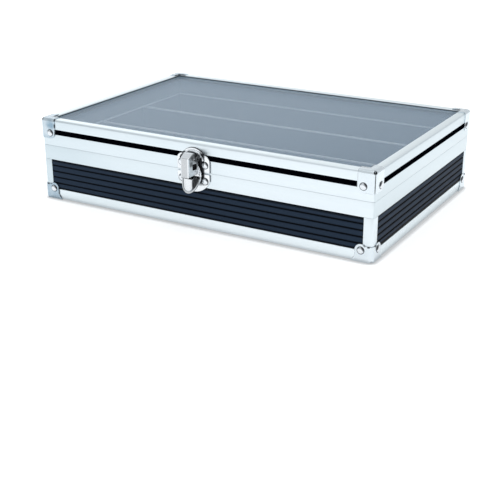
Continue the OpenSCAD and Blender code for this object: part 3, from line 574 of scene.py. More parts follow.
def rivet_shade(count):
    """Painted shade on each rivet: a dark ring all round its shoulder, and a dark crescent where its dome
    leans up and towards the case's front right corner. Share = (lean over the head's radius - 0.5) / 0.15."""
    def share(points):
        heads = points.reshape(count, -1, 3)
        x, y, _ = np.abs(heads).transpose(2, 0, 1)
        shoulder = np.zeros(x.shape)
        for plane, reach in ((CASE_X, x), (CASE_Y, y), (HALF_DEEP + 1.2, y)):
            shoulder = np.where((reach - plane > 0.04) & (reach - plane < 0.13), 1.0, shoulder)
        across, deep, up = (heads - heads.mean(1, keepdims=True)).transpose(2, 0, 1)
        on_side = x.mean(1, keepdims=True) > HALF_LONG - 4
        lean = (np.where(on_side, -0.8 * deep, 0.8 * across) + 0.6 * up) / HEAD_R
        return np.maximum(shoulder, np.clip((lean - 0.5) / 0.15, 0, 1) * 0.85).reshape(-1)
    return share


def polished_surface(place):
    """Polished steel, hardly clouded, with the painted shade kept with the mesh: a dark ring round its
    shoulder and a dark crescent on its dome.
    """
    cloud, fine, painted_shade = place.noise(120, 3), place.noise(1500, 2), painted_shade_on(place)
    return {
        "Base Color": cloud.tint((0.66, 0.70, 0.74), (0.82, 0.85, 0.88)).shaded_by(painted_shade),
        "Roughness": cloud * 0.06 + fine * 0.06 + painted_shade * 0.3 + 0.10,
        "Normal": cloud.bump(0.05, 0.2),
    }


def corner_rivets(height):
    """Two rivets at each corner, one on the long and one on the short side."""
    rivet = rivet_shape(BRACKET_T)
    pair = (stood(rivet, (CASE_X - RIVET_IN, -CASE_Y, height), FACING_FRONT),
            stood(rivet, (CASE_X, -CASE_Y + RIVET_IN, height), FACING_RIGHT))
    return [to_corner(shape, corner) for corner in CORNERS for shape in pair]


rivet_finish = finish("polished_rivet", METAL, polished_surface)
rivets = corner_rivets(LOW_RIVET_UP)
piece("low_corner_rivets", rivets, "base", rivet_finish, "base_corner_rivets", painted_shade=rivet_shade(8))

# The soft inside: black velvet over card on the walls and on the two dividers, and a velvet pad on
# the floor. The dividers' upper edges are cut card and show pale.
LINING_IN, PAD_TOP, LINING_TOP = 7.8, 6.8, TONGUE_TOP - 0.4
ROW_DEEP, DIVIDER_T, DIVIDER_PLAY = 60.0, 1.6, 0.2
DIVIDER_AT = (ROW_DEEP + DIVIDER_T) / 2
NAP = ((0.006, 0.0065, 0.009), (0.012, 0.013, 0.018))
SHEEN = {"Sheen Weight": 0.25, "Sheen Roughness": 0.4, "Specular IOR Level": 0.1}


def pile(place):
    """Pile that lies this way and that."""
    return place.scaled(1, 2.4, 1).noise(26, 3, 0.5)


def velvet_surface(place):
    """Black nap, a little brushed."""
    brushed = pile(place)
    return {
        "Base Color": brushed.tint(*NAP),
        "Roughness": brushed * 0.2 + 0.78,
        "Normal": brushed.bump(0.1, 0.3),
    }


def cut_card_surface(place):
    """Black nap up to a cut edge of pale card."""
    brushed = pile(place)
    cut_edge = place.in_mm()[2].between(TONGUE_TOP - 1.3, TONGUE_TOP - 1.0)
    return {
        "Base Color": cut_edge.tint(brushed.tint(*NAP), brushed.tint((0.78, 0.80, 0.82), (0.90, 0.91, 0.92))),
        "Roughness": brushed * 0.2 + 0.75,
        "Normal": brushed.bump(0.1, 0.3),
    }


def framed(loop):
    """Closed loop, (inset, height), carried round the plan with mitred corners."""
    rings = np.array([
        np.column_stack([wide * (HALF_LONG - loop[:, 0]), deep * (HALF_DEEP - loop[:, 0]), loop[:, 1]])
        for wide, deep in ((1, -1), (1, 1), (-1, 1), (-1, -1))
    ])
    spot = np.arange(rings.shape[0] * rings.shape[1]).reshape(rings.shape[:2])
    ahead, beside = np.roll(spot, -1, 1), np.roll(spot, -1, 0)
    quads = np.stack([spot, ahead, np.roll(ahead, -1, 0), beside], -1).reshape(-1, 4)
    return rings.reshape(-1, 3), quads.tolist()


def pad_shape(across=97, deep=67):
    """Pad with a plump top: height = top - 0.5 mm * dip, where dip nears 1 within 3 mm of the
    walls and of the dividers, which press the velvet down."""
    half_x, half_y = HALF_LONG - LINING_IN, HALF_DEEP - LINING_IN
    x = half_x * np.sin(np.linspace(-1, 1, across) * math.pi / 2)
    grid_x, grid_y = np.meshgrid(x, np.linspace(-half_y, half_y, deep))
    near = np.minimum(half_x - np.abs(grid_x), half_y - np.abs(grid_y))
    near = np.minimum(near, np.abs(np.abs(grid_y) - DIVIDER_AT) - DIVIDER_T / 2)
    dip = np.exp(-np.maximum(near, 0) / 3.0)
    top = np.stack([grid_x, grid_y, PAD_TOP - 0.5 * dip], -1)
    under = np.stack([grid_x, grid_y, np.full_like(dip, FLOOR_TOP)], -1)
    spot = np.arange(across * deep).reshape(deep, across)
    quads = np.stack([spot[:-1, :-1], spot[:-1, 1:], spot[1:, 1:], spot[1:, :-1]], -1).reshape(-1, 4)
    rim = np.concatenate([spot[0, :-1], spot[:-1, -1], spot[-1, :0:-1], spot[:0:-1, 0]])
    wall = np.stack([rim, rim + spot.size, np.roll(rim, -1) + spot.size, np.roll(rim, -1)], -1)
    faces = quads.tolist() + (quads[:, ::-1] + spot.size).tolist() + wall.tolist()
    return np.concatenate([top.reshape(-1, 3), under.reshape(-1, 3)]), faces


velvet_finish = finish("black_velvet", SHEEN, velvet_surface)
divider_finish = finish("velvet_on_card", SHEEN, cut_card_surface)
lining_loop = rounded([
    (LEG_IN, FLOOR_TOP, 0), (LINING_IN, FLOOR_TOP, 0.3), (LINING_IN, LINING_TOP, 0.25),
    (TONGUE_IN, LINING_TOP, 0.1), (TONGUE_IN, SKIRT_BOTTOM, 0), (LEG_IN, SKIRT_BOTTOM, 0),
])
lining = piece("velvet_lining", [framed(lining_loop)], "base", divider_finish, "wall_lining")
pad = piece("velvet_pad", [pad_shape()], "base", velvet_finish, "floor_pad")
for name, middle in (("front", -DIVIDER_AT), ("rear", DIVIDER_AT)):
    run = HALF_LONG - LINING_IN - DIVIDER_PLAY
    plan = rectangle((-run, middle - DIVIDER_T / 2), (run, middle + DIVIDER_T / 2), 0.2)
    divider = slab(plan, PAD_TOP, TONGUE_TOP, 0.2)
    piece(f"card_divider_{name}", [divider], "base", divider_finish, f"divider_{name}")

# The rear hinges: plated steel leaves riveted to the base and the lid, with rolled knuckles round a
# steel pin whose ends are headed.
HINGE_X, HINGE_W, LEAF_T, LEAF_TALL, LEAF_RIVET_X = 80.0, 36.0, 1.2, 13.0, 11
KNUCKLE_R, KNUCKLE_MID, KNUCKLE_GAP = 2.6, 14.0, 0.3
AXIS_Y, AXIS_Z, PIN_R, PIN_END = 103.5, 45.55, 1.2, 0.8
LID_BOTTOM = 45.7
FACING_BACK = ((1, 0, 0), (0, 0, 1), (0, 1, 0))


def rod(radius, low, high, steps):
    """Bar with chamfered ends."""
    profile = [(radius - 0.3, low), (radius, low + 0.3), (radius, high - 0.3), (radius - 0.3, high)]
    return turned(profile, steps)


def rolled_knuckle(x0, x1, web_low):
    """Knuckle with chamfered ends and the flat web that joins it to its leaf."""
    web = slab(rectangle((HALF_DEEP, web_low), (AXIS_Y, web_low + LEAF_T)), x0, x1, 0.15)
    return [stood(rod(KNUCKLE_R, 0, x1 - x0, 32), (x0, AXIS_Y, AXIS_Z), FACING_RIGHT),
            stood(web, (0, 0, 0), FACING_RIGHT)]


def leaf(x, low, high):
    """Flat leaf on the rear face, with rounded corners."""
    plan = rectangle((x - HINGE_W / 2, low), (x + HINGE_W / 2, high), 0.8)
    return stood(slab(plan, 0, LEAF_T, 0.25), (0, HALF_DEEP, 0), FACING_BACK)


def rivets_at(node, spots, y, sheet, facing):
    """Rivets at places along a wall, at the middle height of the CAD node that they stand for."""
    low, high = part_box(node)
    middle = (low[2] + high[2]) / 2 / MM
    return [stood(rivet_shape(sheet), (x, y, middle), facing) for x in spots]


outer, inner = HINGE_W / 2, KNUCKLE_MID / 2
for name, x in (("left", -HINGE_X), ("right", HINGE_X)):
    shapes = [leaf(x, BASE_TOP - LEAF_TALL, BASE_TOP)]
    shapes += rolled_knuckle(x - outer, x - inner - KNUCKLE_GAP, AXIS_Z - KNUCKLE_R)
    shapes += rolled_knuckle(x + inner + KNUCKLE_GAP, x + outer, AXIS_Z - KNUCKLE_R)
    piece(f"low_leaf_{name}", shapes, "base", pressed_finish, f"hinge_base_leaf_{name}")
    shapes = [leaf(x, LID_BOTTOM, LID_BOTTOM + LEAF_TALL)]
    shapes += rolled_knuckle(x - inner, x + inner, AXIS_Z + KNUCKLE_R - LEAF_T)
    piece(f"top_leaf_{name}", shapes, "lid", pressed_finish, f"hinge_lid_leaf_{name}")
head_r, end = (PIN_R + KNUCKLE_R) / 2, outer + PIN_END
profile = [(0.05, -end), (head_r - 0.3, -end), (head_r, 0.3 - end), (head_r, -outer), (PIN_R, -outer)]
profile += [(radius, -height) for radius, height in profile[::-1]]
pins = [stood(turned(profile), (x, AXIS_Y, AXIS_Z), FACING_RIGHT) for x in (-HINGE_X, HINGE_X)]
piece("headed_hinge_pins", pins, "base", rivet_finish, "hinge_pins")
for name, body in (("low", "base"), ("top", "lid")):
    node = f"hinge_{body}_rivets"
    spots = [x + dx for x in (-HINGE_X, HINGE_X) for dx in (-LEAF_RIVET_X, LEAF_RIVET_X)]
    rivets = rivets_at(node, spots, HALF_DEEP + LEAF_T, LEAF_T, FACING_BACK)
    piece(f"{name}_hinge_rivets", rivets, body, rivet_finish, node, painted_shade=rivet_shade(4))

# The lid frame: four mitred lengths of one aluminium profile. It has a flange over the glass, a
# ledge under it, an inner leg that overlaps the tongue, and a groove for the black strip. A thin
# velvet band is glued round inside the leg. The outer face hangs down until the seam is a hairline.
FLANGE, FLANGE_LOW, TOP_R, VELVET_T, SEAM_COVER = 6.9, FRAME_TOP - 1.0, 2.0, 0.3, 0.22
GLASS_LOW, GLASS_TOP, LEDGE_LOW, LEG_LOW = 62.9, 65.9, 61.7, 50.4
STRIP_LOW, STRIP_TOP, STRIP_DEEP = 54.9, 59.1, 1.0
GROOVE_IN, GROOVE_LOW = STRIP_DEEP + PROFILE_WALL, STRIP_LOW - PROFILE_WALL
GROOVE_TOP, FACE_LOW = STRIP_TOP + PROFILE_WALL, LID_BOTTOM - SEAM_COVER
LID_SECTION = rounded([
    (0, FACE_LOW, 0.12), (0, STRIP_LOW, 0.12), (STRIP_DEEP, STRIP_LOW, 0), (STRIP_DEEP, STRIP_TOP, 0),
    (0, STRIP_TOP, 0.12), (0, FRAME_TOP, TOP_R), (FLANGE, FRAME_TOP, 0.8), (FLANGE, FLANGE_LOW, 0.15),
    (TOP_R, FLANGE_LOW, 0), (TOP_R, FRAME_TOP - TOP_R, 0), (PROFILE_WALL, FRAME_TOP - TOP_R, 0),
    (PROFILE_WALL, GLASS_LOW, 0), (FLANGE, GLASS_LOW, 0.2), (FLANGE, LEG_LOW, 0.2),
    (FLANGE - 1, LEG_LOW, 0.2), (FLANGE - 1, LEDGE_LOW, 0), (PROFILE_WALL, LEDGE_LOW, 0),
    (PROFILE_WALL, GROOVE_TOP, 0), (GROOVE_IN, GROOVE_TOP, 0), (GROOVE_IN, GROOVE_LOW, 0),
    (PROFILE_WALL, GROOVE_LOW, 0), (PROFILE_WALL, FACE_LOW, 0.2),
], steps=6)
for side, metal in side_finish.items():
    profile = mitred_run(LID_SECTION, side)
    piece(f"lid_profile_{side}", [profile], "lid", metal, f"lid_frame_{side}")
velvet_loop = rectangle((FLANGE, LEG_LOW), (FLANGE + VELVET_T, GLASS_LOW), 0.1)
inner_band = piece("lid_velvet", [framed(velvet_loop)], "lid", velvet_finish, "lid_lining")

# The window: a plate of clear float glass with ground edges; its blue-grey colour, stronger at a glance,
# is painted reflection of the room over a little haze. A black rubber frame lies on it under the flange and
# shows as a thin line along the flange's edge.
GLASS_IN, GASKET_T, GASKET_LIP = 2.2, 0.5, 0.15
# The blue-grey base colour is painted reflection of the room, over a little haze.
CLEAR = {"Base Color": (0.415, 0.545, 0.68, 1), "IOR": 1.5, "Specular IOR Level": 0.08}


def glass_surface(place):
    """Clear face-on and showing more of its blue-grey painted reflection at a glance, with a little dust."""
    glance = place.node("ShaderNodeLayerWeight", None, {"Blend": 0.5}, out="Facing")
    smear = place.scaled(1, 3, 1).noise(9, 4, 0.6)
    return {"Alpha": glance**3 * 0.70 + 0.12 + smear * 0.02, "Roughness": smear * 0.04 + 0.03}


def rubber_surface(place):
    """Matt black, finely grained."""
    grain = place.noise(1800, 3)
    return {
        "Base Color": grain.tint((0.006, 0.007, 0.009), (0.016, 0.017, 0.020)),
        "Roughness": grain * 0.2 + 0.6,
        "Normal": grain.bump(0.05, 0.5),
    }


glass_finish = finish("clear_float_glass", CLEAR, glass_surface)
plate = slab(case_plan(GLASS_IN, 0.6), GLASS_LOW, GLASS_TOP, 0.3)
piece("glass_plate", [plate], "lid", glass_finish, "window_pane", sharp=5)
rubber_finish = finish("black_rubber", {"Specular IOR Level": 0.3}, rubber_surface)
gasket_loop = rectangle((GLASS_IN, GLASS_TOP), (FLANGE + GASKET_LIP, GLASS_TOP + GASKET_T), 0.1)
piece("rubber_frame", [framed(gasket_loop)], "lid", rubber_finish, "glazing_gasket")

# The black strips: smooth plastic pressed into the groove of the lid frame, a hair below its face.
# Their ends run in under the corner brackets.
STRIP_SINK, STRIP_UNDER = 0.1, 1.0
STRIP_SECTION = rounded([
    (STRIP_SINK, STRIP_LOW, 0.05), (STRIP_SINK, STRIP_TOP, 0.05),
    (STRIP_DEEP, STRIP_TOP, 0), (STRIP_DEEP, STRIP_LOW, 0),
])


def strip_surface(place):
    """Deep black, faintly clouded."""
    cloud = place.noise(50, 3)
    return {
        "Base Color": cloud.tint((0.0001, 0.0002, 0.0010), (0.0006, 0.0008, 0.0024)),
        "Roughness": cloud * 0.1 + 0.5,
    }


strip_finish = finish("smooth_black", {"Specular IOR Level": 0.0}, strip_surface)
for side in SIDES:
    strip = straight_run(STRIP_SECTION, side, halves(side)[0] + BRACKET_T - LEG + STRIP_UNDER)
    piece(f"black_strip_{side}", [strip], "lid", strip_finish, f"lid_stripe_{side}")

# The upper corner brackets: plated steel in two halves of one pressing, folded over the top edge
# and down both sides. The halves meet on the mitre and leave a slit along the upright edge and a
# small three-cornered hollow where the three folds meet. Painted shade darkens the hollow, the slit and the
# inner edges on top.
CASE_TOP, TOP_TALL, TOP_RIVET_DOWN, SLIT = 68.0, 16.6, 12.0, 0.5
SHADE_SPOT_UP, SHADE_SPOT_IN = 62.5, 10


def folded_half(steps=9):
    """Half of a bracket. The sheet's section, (inset, height), runs from the flange's inner edge over
    the rounded top edge and down to the lobe; it is carried from the leg's end to the mitre."""
    outer_r, straight = TOP_R + BRACKET_T, LEG - EDGE_R - BRACKET_T
    quarter = np.linspace(0, math.pi / 2, 7)
    across, down = np.sin(quarter), 1 - np.cos(quarter)
    leads = straight * (1 - np.cos(np.linspace(0, math.pi / 2, steps)))
    rings = []
    for lead, k in [(lead, 0.0) for lead in leads] + [(straight, k) for k in np.linspace(0, 1, 7)[1:]]:
        bottom = CASE_TOP - float(lobe(lead if k == 0 else LEG, TOP_TALL))
        rim, lip = [bottom + 0.2, bottom], FLANGE + 0.3
        d = [lip, FLANGE, *(TOP_R - outer_r * across), -BRACKET_T, 0.15 - BRACKET_T]
        z = [CASE_TOP - 0.15, CASE_TOP, *(CASE_TOP - outer_r * down), *rim]
        d = np.array([*d, -0.15, 0.0, *(TOP_R - TOP_R * across)[::-1], lip])
        z = np.array([*z, *rim[::-1], *(FRAME_TOP - TOP_R * down)[::-1], FRAME_TOP])
        reach, radius = np.maximum(EDGE_R, d), np.maximum(EDGE_R - d, 0)
        hollow = np.exp(-(((z - CASE_TOP + 1.0) / 1.1) ** 2)) * 0.45
        slit = np.where(z < CASE_TOP - outer_r, SLIT / 2, 0.02) + np.where(d < TOP_R, hollow, 0)
        turn = np.maximum(math.pi / 4 - slit / np.maximum(radius, 0.5), 0) * k
        x = HALF_LONG - reach + radius * np.sin(turn)
        if k == 0:
            x = np.minimum(x, CASE_X - LEG + lead)
        rings.append(np.column_stack([x, reach - HALF_DEEP - radius * np.cos(turn), z]))
    return loft(np.array(rings))


def other_half(shape):
    """The same half mirrored in the corner's upright diagonal plane."""
    points, faces = shape
    x, y, z = points.T
    return np.column_stack([HALF_LONG - HALF_DEEP - y, HALF_LONG - HALF_DEEP - x, z]), faces


def span(*parts):
    """Root of the sum of the squares of some wires."""
    return sum(part**2 for part in parts).math("SQRT")


def painted_shade_over(values, share, rough, shade_tint=(0.012, 0.013, 0.018)):
    """Surface values with a share of painted shade over them, rougher where it lies."""
    return {**values, "Base Color": values["Base Color"].shaded_by(share, shade_tint),
            "Roughness": values["Roughness"] + share * rough}


def bracket_surface(place):
    """Plated steel with painted shade in the hollow at each corner, along the slit below it and on the
    curled inner edges. The front left one has a darker patch of the same painted shade above its rivet."""
    x, y, z = place.in_mm()
    rear = y.between(50, 60)
    x, y = abs(x), abs(y)
    # A darker patch of the painted left shade above the front left rivet.
    shade_spot = span(x - CASE_X + SHADE_SPOT_IN, z - SHADE_SPOT_UP).below(1.5, 6.0)
    upper = z.between(50, 56)
    front_shade = 0.62 - upper * 0.30 + shade_spot * 0.45
    values = pressed_surface(place, front_shade, z.between(FRAME_TOP - 0.2, FRAME_TOP + 0.2) * 0.28)
    # Painted shade in the hollow, along the slit and on the inner edges on top.
    hollow = span(x - CASE_X + 0.7, y - CASE_Y + 0.7, z - CASE_TOP + 0.9).below(1.3, 2.2)
    inner = (x - HALF_LONG + FLANGE).most(y - HALF_DEEP + FLANGE)
    on_top = z.between(FRAME_TOP, FRAME_TOP + 0.4)
    wedge = inner.below(0.6, 1.4) * rear * place.noise(500, 2).between(0.35, 0.5)
    curl = inner.below(0, 0.5) * (1 - rear) * place.noise(600, 2).between(0.34, 0.46)
    off_mitre = abs(x - y - CASE_X + CASE_Y)
    slit = off_mitre.below(0.35, 0.75) * z.below(64.5, 66.0) * (upper * 0.35 + 0.3)
    return painted_shade_over(values, hollow.most(slit, (wedge + curl) * on_top * 0.8), 0.4)


bracket_finish = finish("plated_bracket", METAL, bracket_surface)
for corner in CORNERS:
    shapes = [to_corner(half, corner) for half in (folded_half(), other_half(folded_half()))]
    piece(f"top_bracket_{corner}", shapes, "lid", bracket_finish, f"lid_corner_{corner}")
rivets = corner_rivets(CASE_TOP - TOP_RIVET_DOWN)
piece("top_corner_rivets", rivets, "lid", rivet_finish, "lid_corner_rivets", painted_shade=rivet_shade(8))

# The latch plates: nickel-plated pressings riveted to the base and to the lid. The upper one has an
# arched top, a horseshoe collar and two ears for the lever's pin; the lower one has a catch nose.
PLATE_T, PLATE_HALF, PLATE_LOW, PLATE_ARC_R = 1.2, 14.4, AXIS_Z - 16.2, 15.4
SHOULDER_TOP, SHOULDER_R, ARCH_R, ARCH_Z = LID_BOTTOM + 12.9, 4.5, 12.0, LID_BOTTOM + 6.1
PIVOT_Y, PIVOT_Z = -HALF_DEEP - 6.2, 57.15
COLLAR_Z, COLLAR_IN, COLLAR_T, COLLAR_OUT = 51.8, 9.0, 1.6, 2.6
EAR_IN, EAR_T, EYE_R, LATCH_PIN_R = 6.2, 1.2, 2.0, 1.0
LATCH_RIVET_X = 10.4
EDGEWISE, SIDEWAYS = ((0, -1, 0), (0, 0, 1), (1, 0, 0)), ((0, 0, 1), (0, 1, 0), (1, 0, 0))


def nickel_surface(place):
    """Polished nickel plating, darkened by the painted shade kept with the mesh, where it has any."""
    cloud, fine, painted_shade = place.noise(90, 3), place.noise(1100, 3), painted_shade_on(place)
    return {
        "Base Color": cloud.tint((0.70, 0.735, 0.77), (0.88, 0.90, 0.92)).shaded_by(painted_shade, (0.008, 0.007, 0.008)),
        "Roughness": cloud * 0.08 + fine * 0.06 + painted_shade * 0.3 + 0.10,
        "Normal": cloud.bump(0.08, 0.25),
    }


def plate_surface(place):
    """Nickel with painted shade: black on the flats between the lever and the rivets, where the lever
    shades them, and dark along the plates' edges, under the collar, on the arch's top edge and on the ears."""
    x, y, z = place.in_mm()
    side, out = abs(x), -HALF_DEEP - y
    # Painted shade: the lever's shadow on the flats, dark plate edges, the collar's inside, the arch's top
    # edge and the ears.
    flat = out.below(1.4, 1.7) * side.below(9.0, 10.6)
    tall = z.between(AXIS_Z - 11.5, AXIS_Z - 7.5) * z.below(COLLAR_Z + 8.2, COLLAR_Z + 9.0)
    middle = side.below(3.6, 5.4)
    edge = side.between(PLATE_HALF - 0.3, PLATE_HALF - 0.1) * 0.7
    in_collar = span(x, z - COLLAR_Z).below(COLLAR_IN + 0.2, COLLAR_IN + 0.6)
    in_collar = in_collar * z.between(COLLAR_Z + 1, COLLAR_Z + 3) * 0.92
    arch = span(x, z - ARCH_Z).between(ARCH_R - 0.3, ARCH_R - 0.1) * out.below(1.1, 1.3)
    arch = arch * z.between(LID_BOTTOM + 12.8, LID_BOTTOM + 14) * 0.9
    ears = out.between(2.7, 2.9) * 0.85
    dark = (flat * tall * (0.97 - middle * 0.45)).most(edge, in_collar, arch, ears)
    return painted_shade_over(nickel_surface(place), dark, 0.4)


def low_plate():
    """Plate with straight sides and one broad arc below, in the plane of the wall."""
    top, low = BASE_TOP - 0.8, PLATE_LOW + 8
    half, radius = PLATE_HALF, PLATE_ARC_R
    angle = np.linspace(-1, 1, 25) * math.asin(half / radius)
    arc = np.column_stack([radius * np.sin(angle), PLATE_LOW + radius - radius * np.cos(angle)])
    edge = rounded([(half, low, 0), (half, top, 1.2), (-half, top, 1.2), (-half, low, 0)])
    return np.concatenate([arc, edge[edge[:, 1] > arc[-1, 1] + 0.1]])


def arched_plate():
    """Plate whose top is the higher of rounded shoulders and a round arch."""
    x = PLATE_HALF * np.sin(np.linspace(1, -1, 61) * math.pi / 2)
    over = np.clip(np.abs(x) - (PLATE_HALF - SHOULDER_R), 0, SHOULDER_R)
    top = SHOULDER_TOP - SHOULDER_R + np.sqrt(SHOULDER_R**2 - over**2)
    arch = ARCH_Z + np.sqrt(np.clip(ARCH_R**2 - x**2, 0, None))
    top = np.where(np.abs(x) < ARCH_R, np.maximum(top, arch), top)
    return np.concatenate([[(-PLATE_HALF, LID_BOTTOM), (PLATE_HALF, LID_BOTTOM)], np.column_stack([x, top])])


def collar():
    """Rounded bar carried along an arc over the lever's top, from one ear to the other."""
    section = rectangle((COLLAR_IN, 0), (COLLAR_IN + COLLAR_T, COLLAR_OUT), 0.45)
    start = math.asin((PIVOT_Z - COLLAR_Z - EYE_R) / (COLLAR_IN + COLLAR_T))
    angle = np.linspace(start, math.pi - start, 41)
    x, z = np.outer(np.cos(angle), section[:, 0]), COLLAR_Z + np.outer(np.sin(angle), section[:, 0])
    return loft(np.stack([x, z, np.broadcast_to(section[:, 1], x.shape)], -1))


def ear(x):
    """Ear: a flat with a round end about the pin, standing out from the wall."""
    angle = np.linspace(-math.pi / 2, math.pi / 2, 17)
    nose = np.column_stack([-HALF_DEEP - PIVOT_Y + EYE_R * np.cos(angle), EYE_R * np.sin(angle)])
    outline = np.concatenate([nose, [(0.3, EYE_R), (0.3, -EYE_R)]])
    return stood(slab(outline, x - EAR_T / 2, x + EAR_T / 2, 0.3), (0, -HALF_DEEP, PIVOT_Z), EDGEWISE)


def catch_nose(half=4, low=AXIS_Z - 8, tall=1.4, reach=2.6):
    """Rounded lip that stands out from the lower plate."""
    outline = rounded([(0.5, low, 0), (reach, low, 0.3), (reach, low + tall, 0.5), (0.5, low + tall, 0)])
    return stood(slab(outline, -half, half, 0.3), (0, -HALF_DEEP, 0), EDGEWISE)


def on_wall(shape):
    """Shape drawn in the plane of the front wall, (across, up, out)."""
    return stood(shape, (0, -HALF_DEEP, 0), FACING_FRONT)


plate_finish = finish("nickel_plate", METAL, plate_surface)
low_shapes = [on_wall(slab(low_plate(), 0, PLATE_T, 0.4)), catch_nose()]
top_shapes = [on_wall(slab(arched_plate(), 0, PLATE_T, 0.4)), on_wall(collar())]
top_shapes += [ear(EAR_IN + EAR_T / 2), ear(-EAR_IN - EAR_T / 2)]
for name, body, shapes in (("low", "base", low_shapes), ("top", "lid", top_shapes)):
    piece(f"{name}_latch_plate", shapes, body, plate_finish, f"latch_{body}_plate")
    node, spots = f"latch_{body}_rivets", (-LATCH_RIVET_X, LATCH_RIVET_X)
    rivets = rivets_at(node, spots, -HALF_DEEP - PLATE_T, PLATE_T, FACING_FRONT)
    piece(f"{name}_latch_rivets", rivets, body, rivet_finish, node, painted_shade=rivet_shade(2))
end, chamfered = EAR_IN + EAR_T, LATCH_PIN_R - 0.2
profile = [(LATCH_PIN_R, end - 0.2), (chamfered, end), (0.05, end)]
profile = [(radius, -height) for radius, height in profile[::-1]] + profile
pin = stood(turned(profile, 20), (0, PIVOT_Y, PIVOT_Z), FACING_RIGHT)
piece("latch_hinge_pin", [pin], "lid", rivet_finish, "latch_pin")

# The latch lever: one nickel-plated pressing that hangs from the pin. Its sheet is an oval with a
# raised rim, flat above and bent outwards below; a tapered hood with a round top, open below and
# with dark slots painted on its sides, stands on it, with a thumb ridge under the mouth and a catch lip
# behind.
LEVER_HALF, OVAL_UP, TAB_LONG, BEND_DROP = 8.1, 12.3, 14.2, 14.9
LEVER_BACK, SHEET_T, RIM_W, RIM_UP = -4.2, 0.8, 1.2, 0.5
FLARE, BEND_R = math.radians(30), 4.0
HOOD_FRONT, HOOD_FOOT, HOOD_TOP_HALF, HOOD_TOP_R = 3.35, 5.7, 4.6, 4.0
HOOD_OUT, HOOD_RISE, HOOD_DROP, UNDERCUT, HOOD_T = 7.1, 1.0, 14.1, 2.1, 0.9


def bent(points):
    """Flat points, (x, height over the bend, reach over the back), with the part below the bend
    turned outwards round an arc of radius BEND_R in front of it."""
    x, s, r = points.T
    half = BEND_R * FLARE / 2
    turn = np.clip((half - s) / BEND_R, 0, FLARE)
    past = np.maximum(-half - s, 0)
    up = np.where(s > half, s, half - (BEND_R - r) * np.sin(turn) - past * math.cos(FLARE))
    out = np.where(s > half, r, BEND_R - (BEND_R - r) * np.cos(turn) + past * math.sin(FLARE))
    return np.column_stack([x, up - BEND_DROP, out + LEVER_BACK])


def oval(inset):
    """Oval round the bend with unlike upper and lower halves, drawn in by a distance."""
    angle = np.linspace(0, 2 * math.pi, 64, endpoint=False)
    tall = np.where(angle < math.pi, OVAL_UP, TAB_LONG) - inset
    return np.column_stack([(LEVER_HALF - inset) * np.cos(angle), tall * np.sin(angle)])


def lever_sheet():
    """Oval rings, (inset, reach): flat back, rounded rim, then the dished floor, all bent."""
    floor, rim = SHEET_T, SHEET_T + RIM_UP
    rings = [(inset, 0) for inset in (7.9, 6, 4, 2, 0.3)]
    rings += [(0.08, 0.1), (0, 0.3), (0, rim - 0.35), (0.1, rim - 0.1), (0.35, rim), (RIM_W - 0.3, rim)]
    rings += [(RIM_W - 0.05, rim - 0.15), (RIM_W + 0.1, floor + 0.1)]
    rings += [(inset, floor) for inset in (RIM_W + 0.4, 3, 5, 6.5, 7.9)]
    ovals = [np.column_stack([oval(inset), np.full(64, reach)]) for inset, reach in rings]
    points, faces = loft(np.array(ovals))
    return bent(points), faces


def hood_ring(inset, height, mouth=False):
    """Level section of the hood at a height, drawn in by a wall: a trapezoid between the lever's
    sheet and the front, whose front edge follows the round top above the front face. At the mouth
    it rises from the front to the sheet."""
    front, top_r, rise = HOOD_OUT - inset, HOOD_TOP_R - inset, HOOD_RISE - inset
    foot = LEVER_BACK + SHEET_T - 0.2
    touch = math.atan2(rise, front) + math.acos(top_r / math.hypot(front, rise))
    touch_out, touch_up = top_r * math.cos(touch), top_r * math.sin(touch)
    round_reach = math.sqrt(max(top_r**2 - height**2, 0))
    if height > touch_up:
        reach = round_reach
    elif height > rise:
        reach = front - (height - rise) * (front - touch_out) / (touch_up - rise)
    else:
        reach = front
    back = foot if height < 2.0 - inset else -round_reach
    back = min(max(back, foot), reach - 0.05)

    def half(out):
        low = HOOD_FOOT + (out - foot) * (HOOD_FRONT - HOOD_FOOT) / (HOOD_OUT - foot)
        blend = min(max((height - rise) / 2.5, 0), 1)
        return low + (min(low, HOOD_TOP_HALF) - low) * blend - inset

    corner = min(0.7 if inset == 0 else 0.3, (reach - back) / 3)
    w0, w1 = half(back), half(reach)
    ring = rounded([(-w0, back, 0.05), (w0, back, 0.05), (w1, reach, corner), (-w1, reach, corner)], 5)
    climb = UNDERCUT * (HOOD_OUT - ring[:, 1]) / (HOOD_OUT - foot) if mouth else 0
    return np.column_stack([ring[:, 0], np.full(len(ring), height) + climb, ring[:, 1]])


def hood():
    """Rings up the inner wall, round the mouth and up the outer wall to the round top. Two of the
    levels bound the side slots, which lever_surface darkens."""
    levels = [-8.2, -4.6, 0.0]
    tops = [1.0, 1.8, 2.4, 2.9, 3.3, 3.6, 3.8, 3.93]
    mouth = ((HOOD_T, 0.25 - HOOD_DROP), (0.2, -HOOD_DROP), (0.0, 0.2 - HOOD_DROP))
    rings = [hood_ring(HOOD_T, height - HOOD_T) for height in tops[-3::-1]]
    rings += [hood_ring(HOOD_T, height) for height in levels[::-1]]
    rings += [hood_ring(inset, height, mouth=True) for inset, height in mouth]
    rings += [hood_ring(0.0, height) for height in levels + tops]
    return loft(np.array(rings))


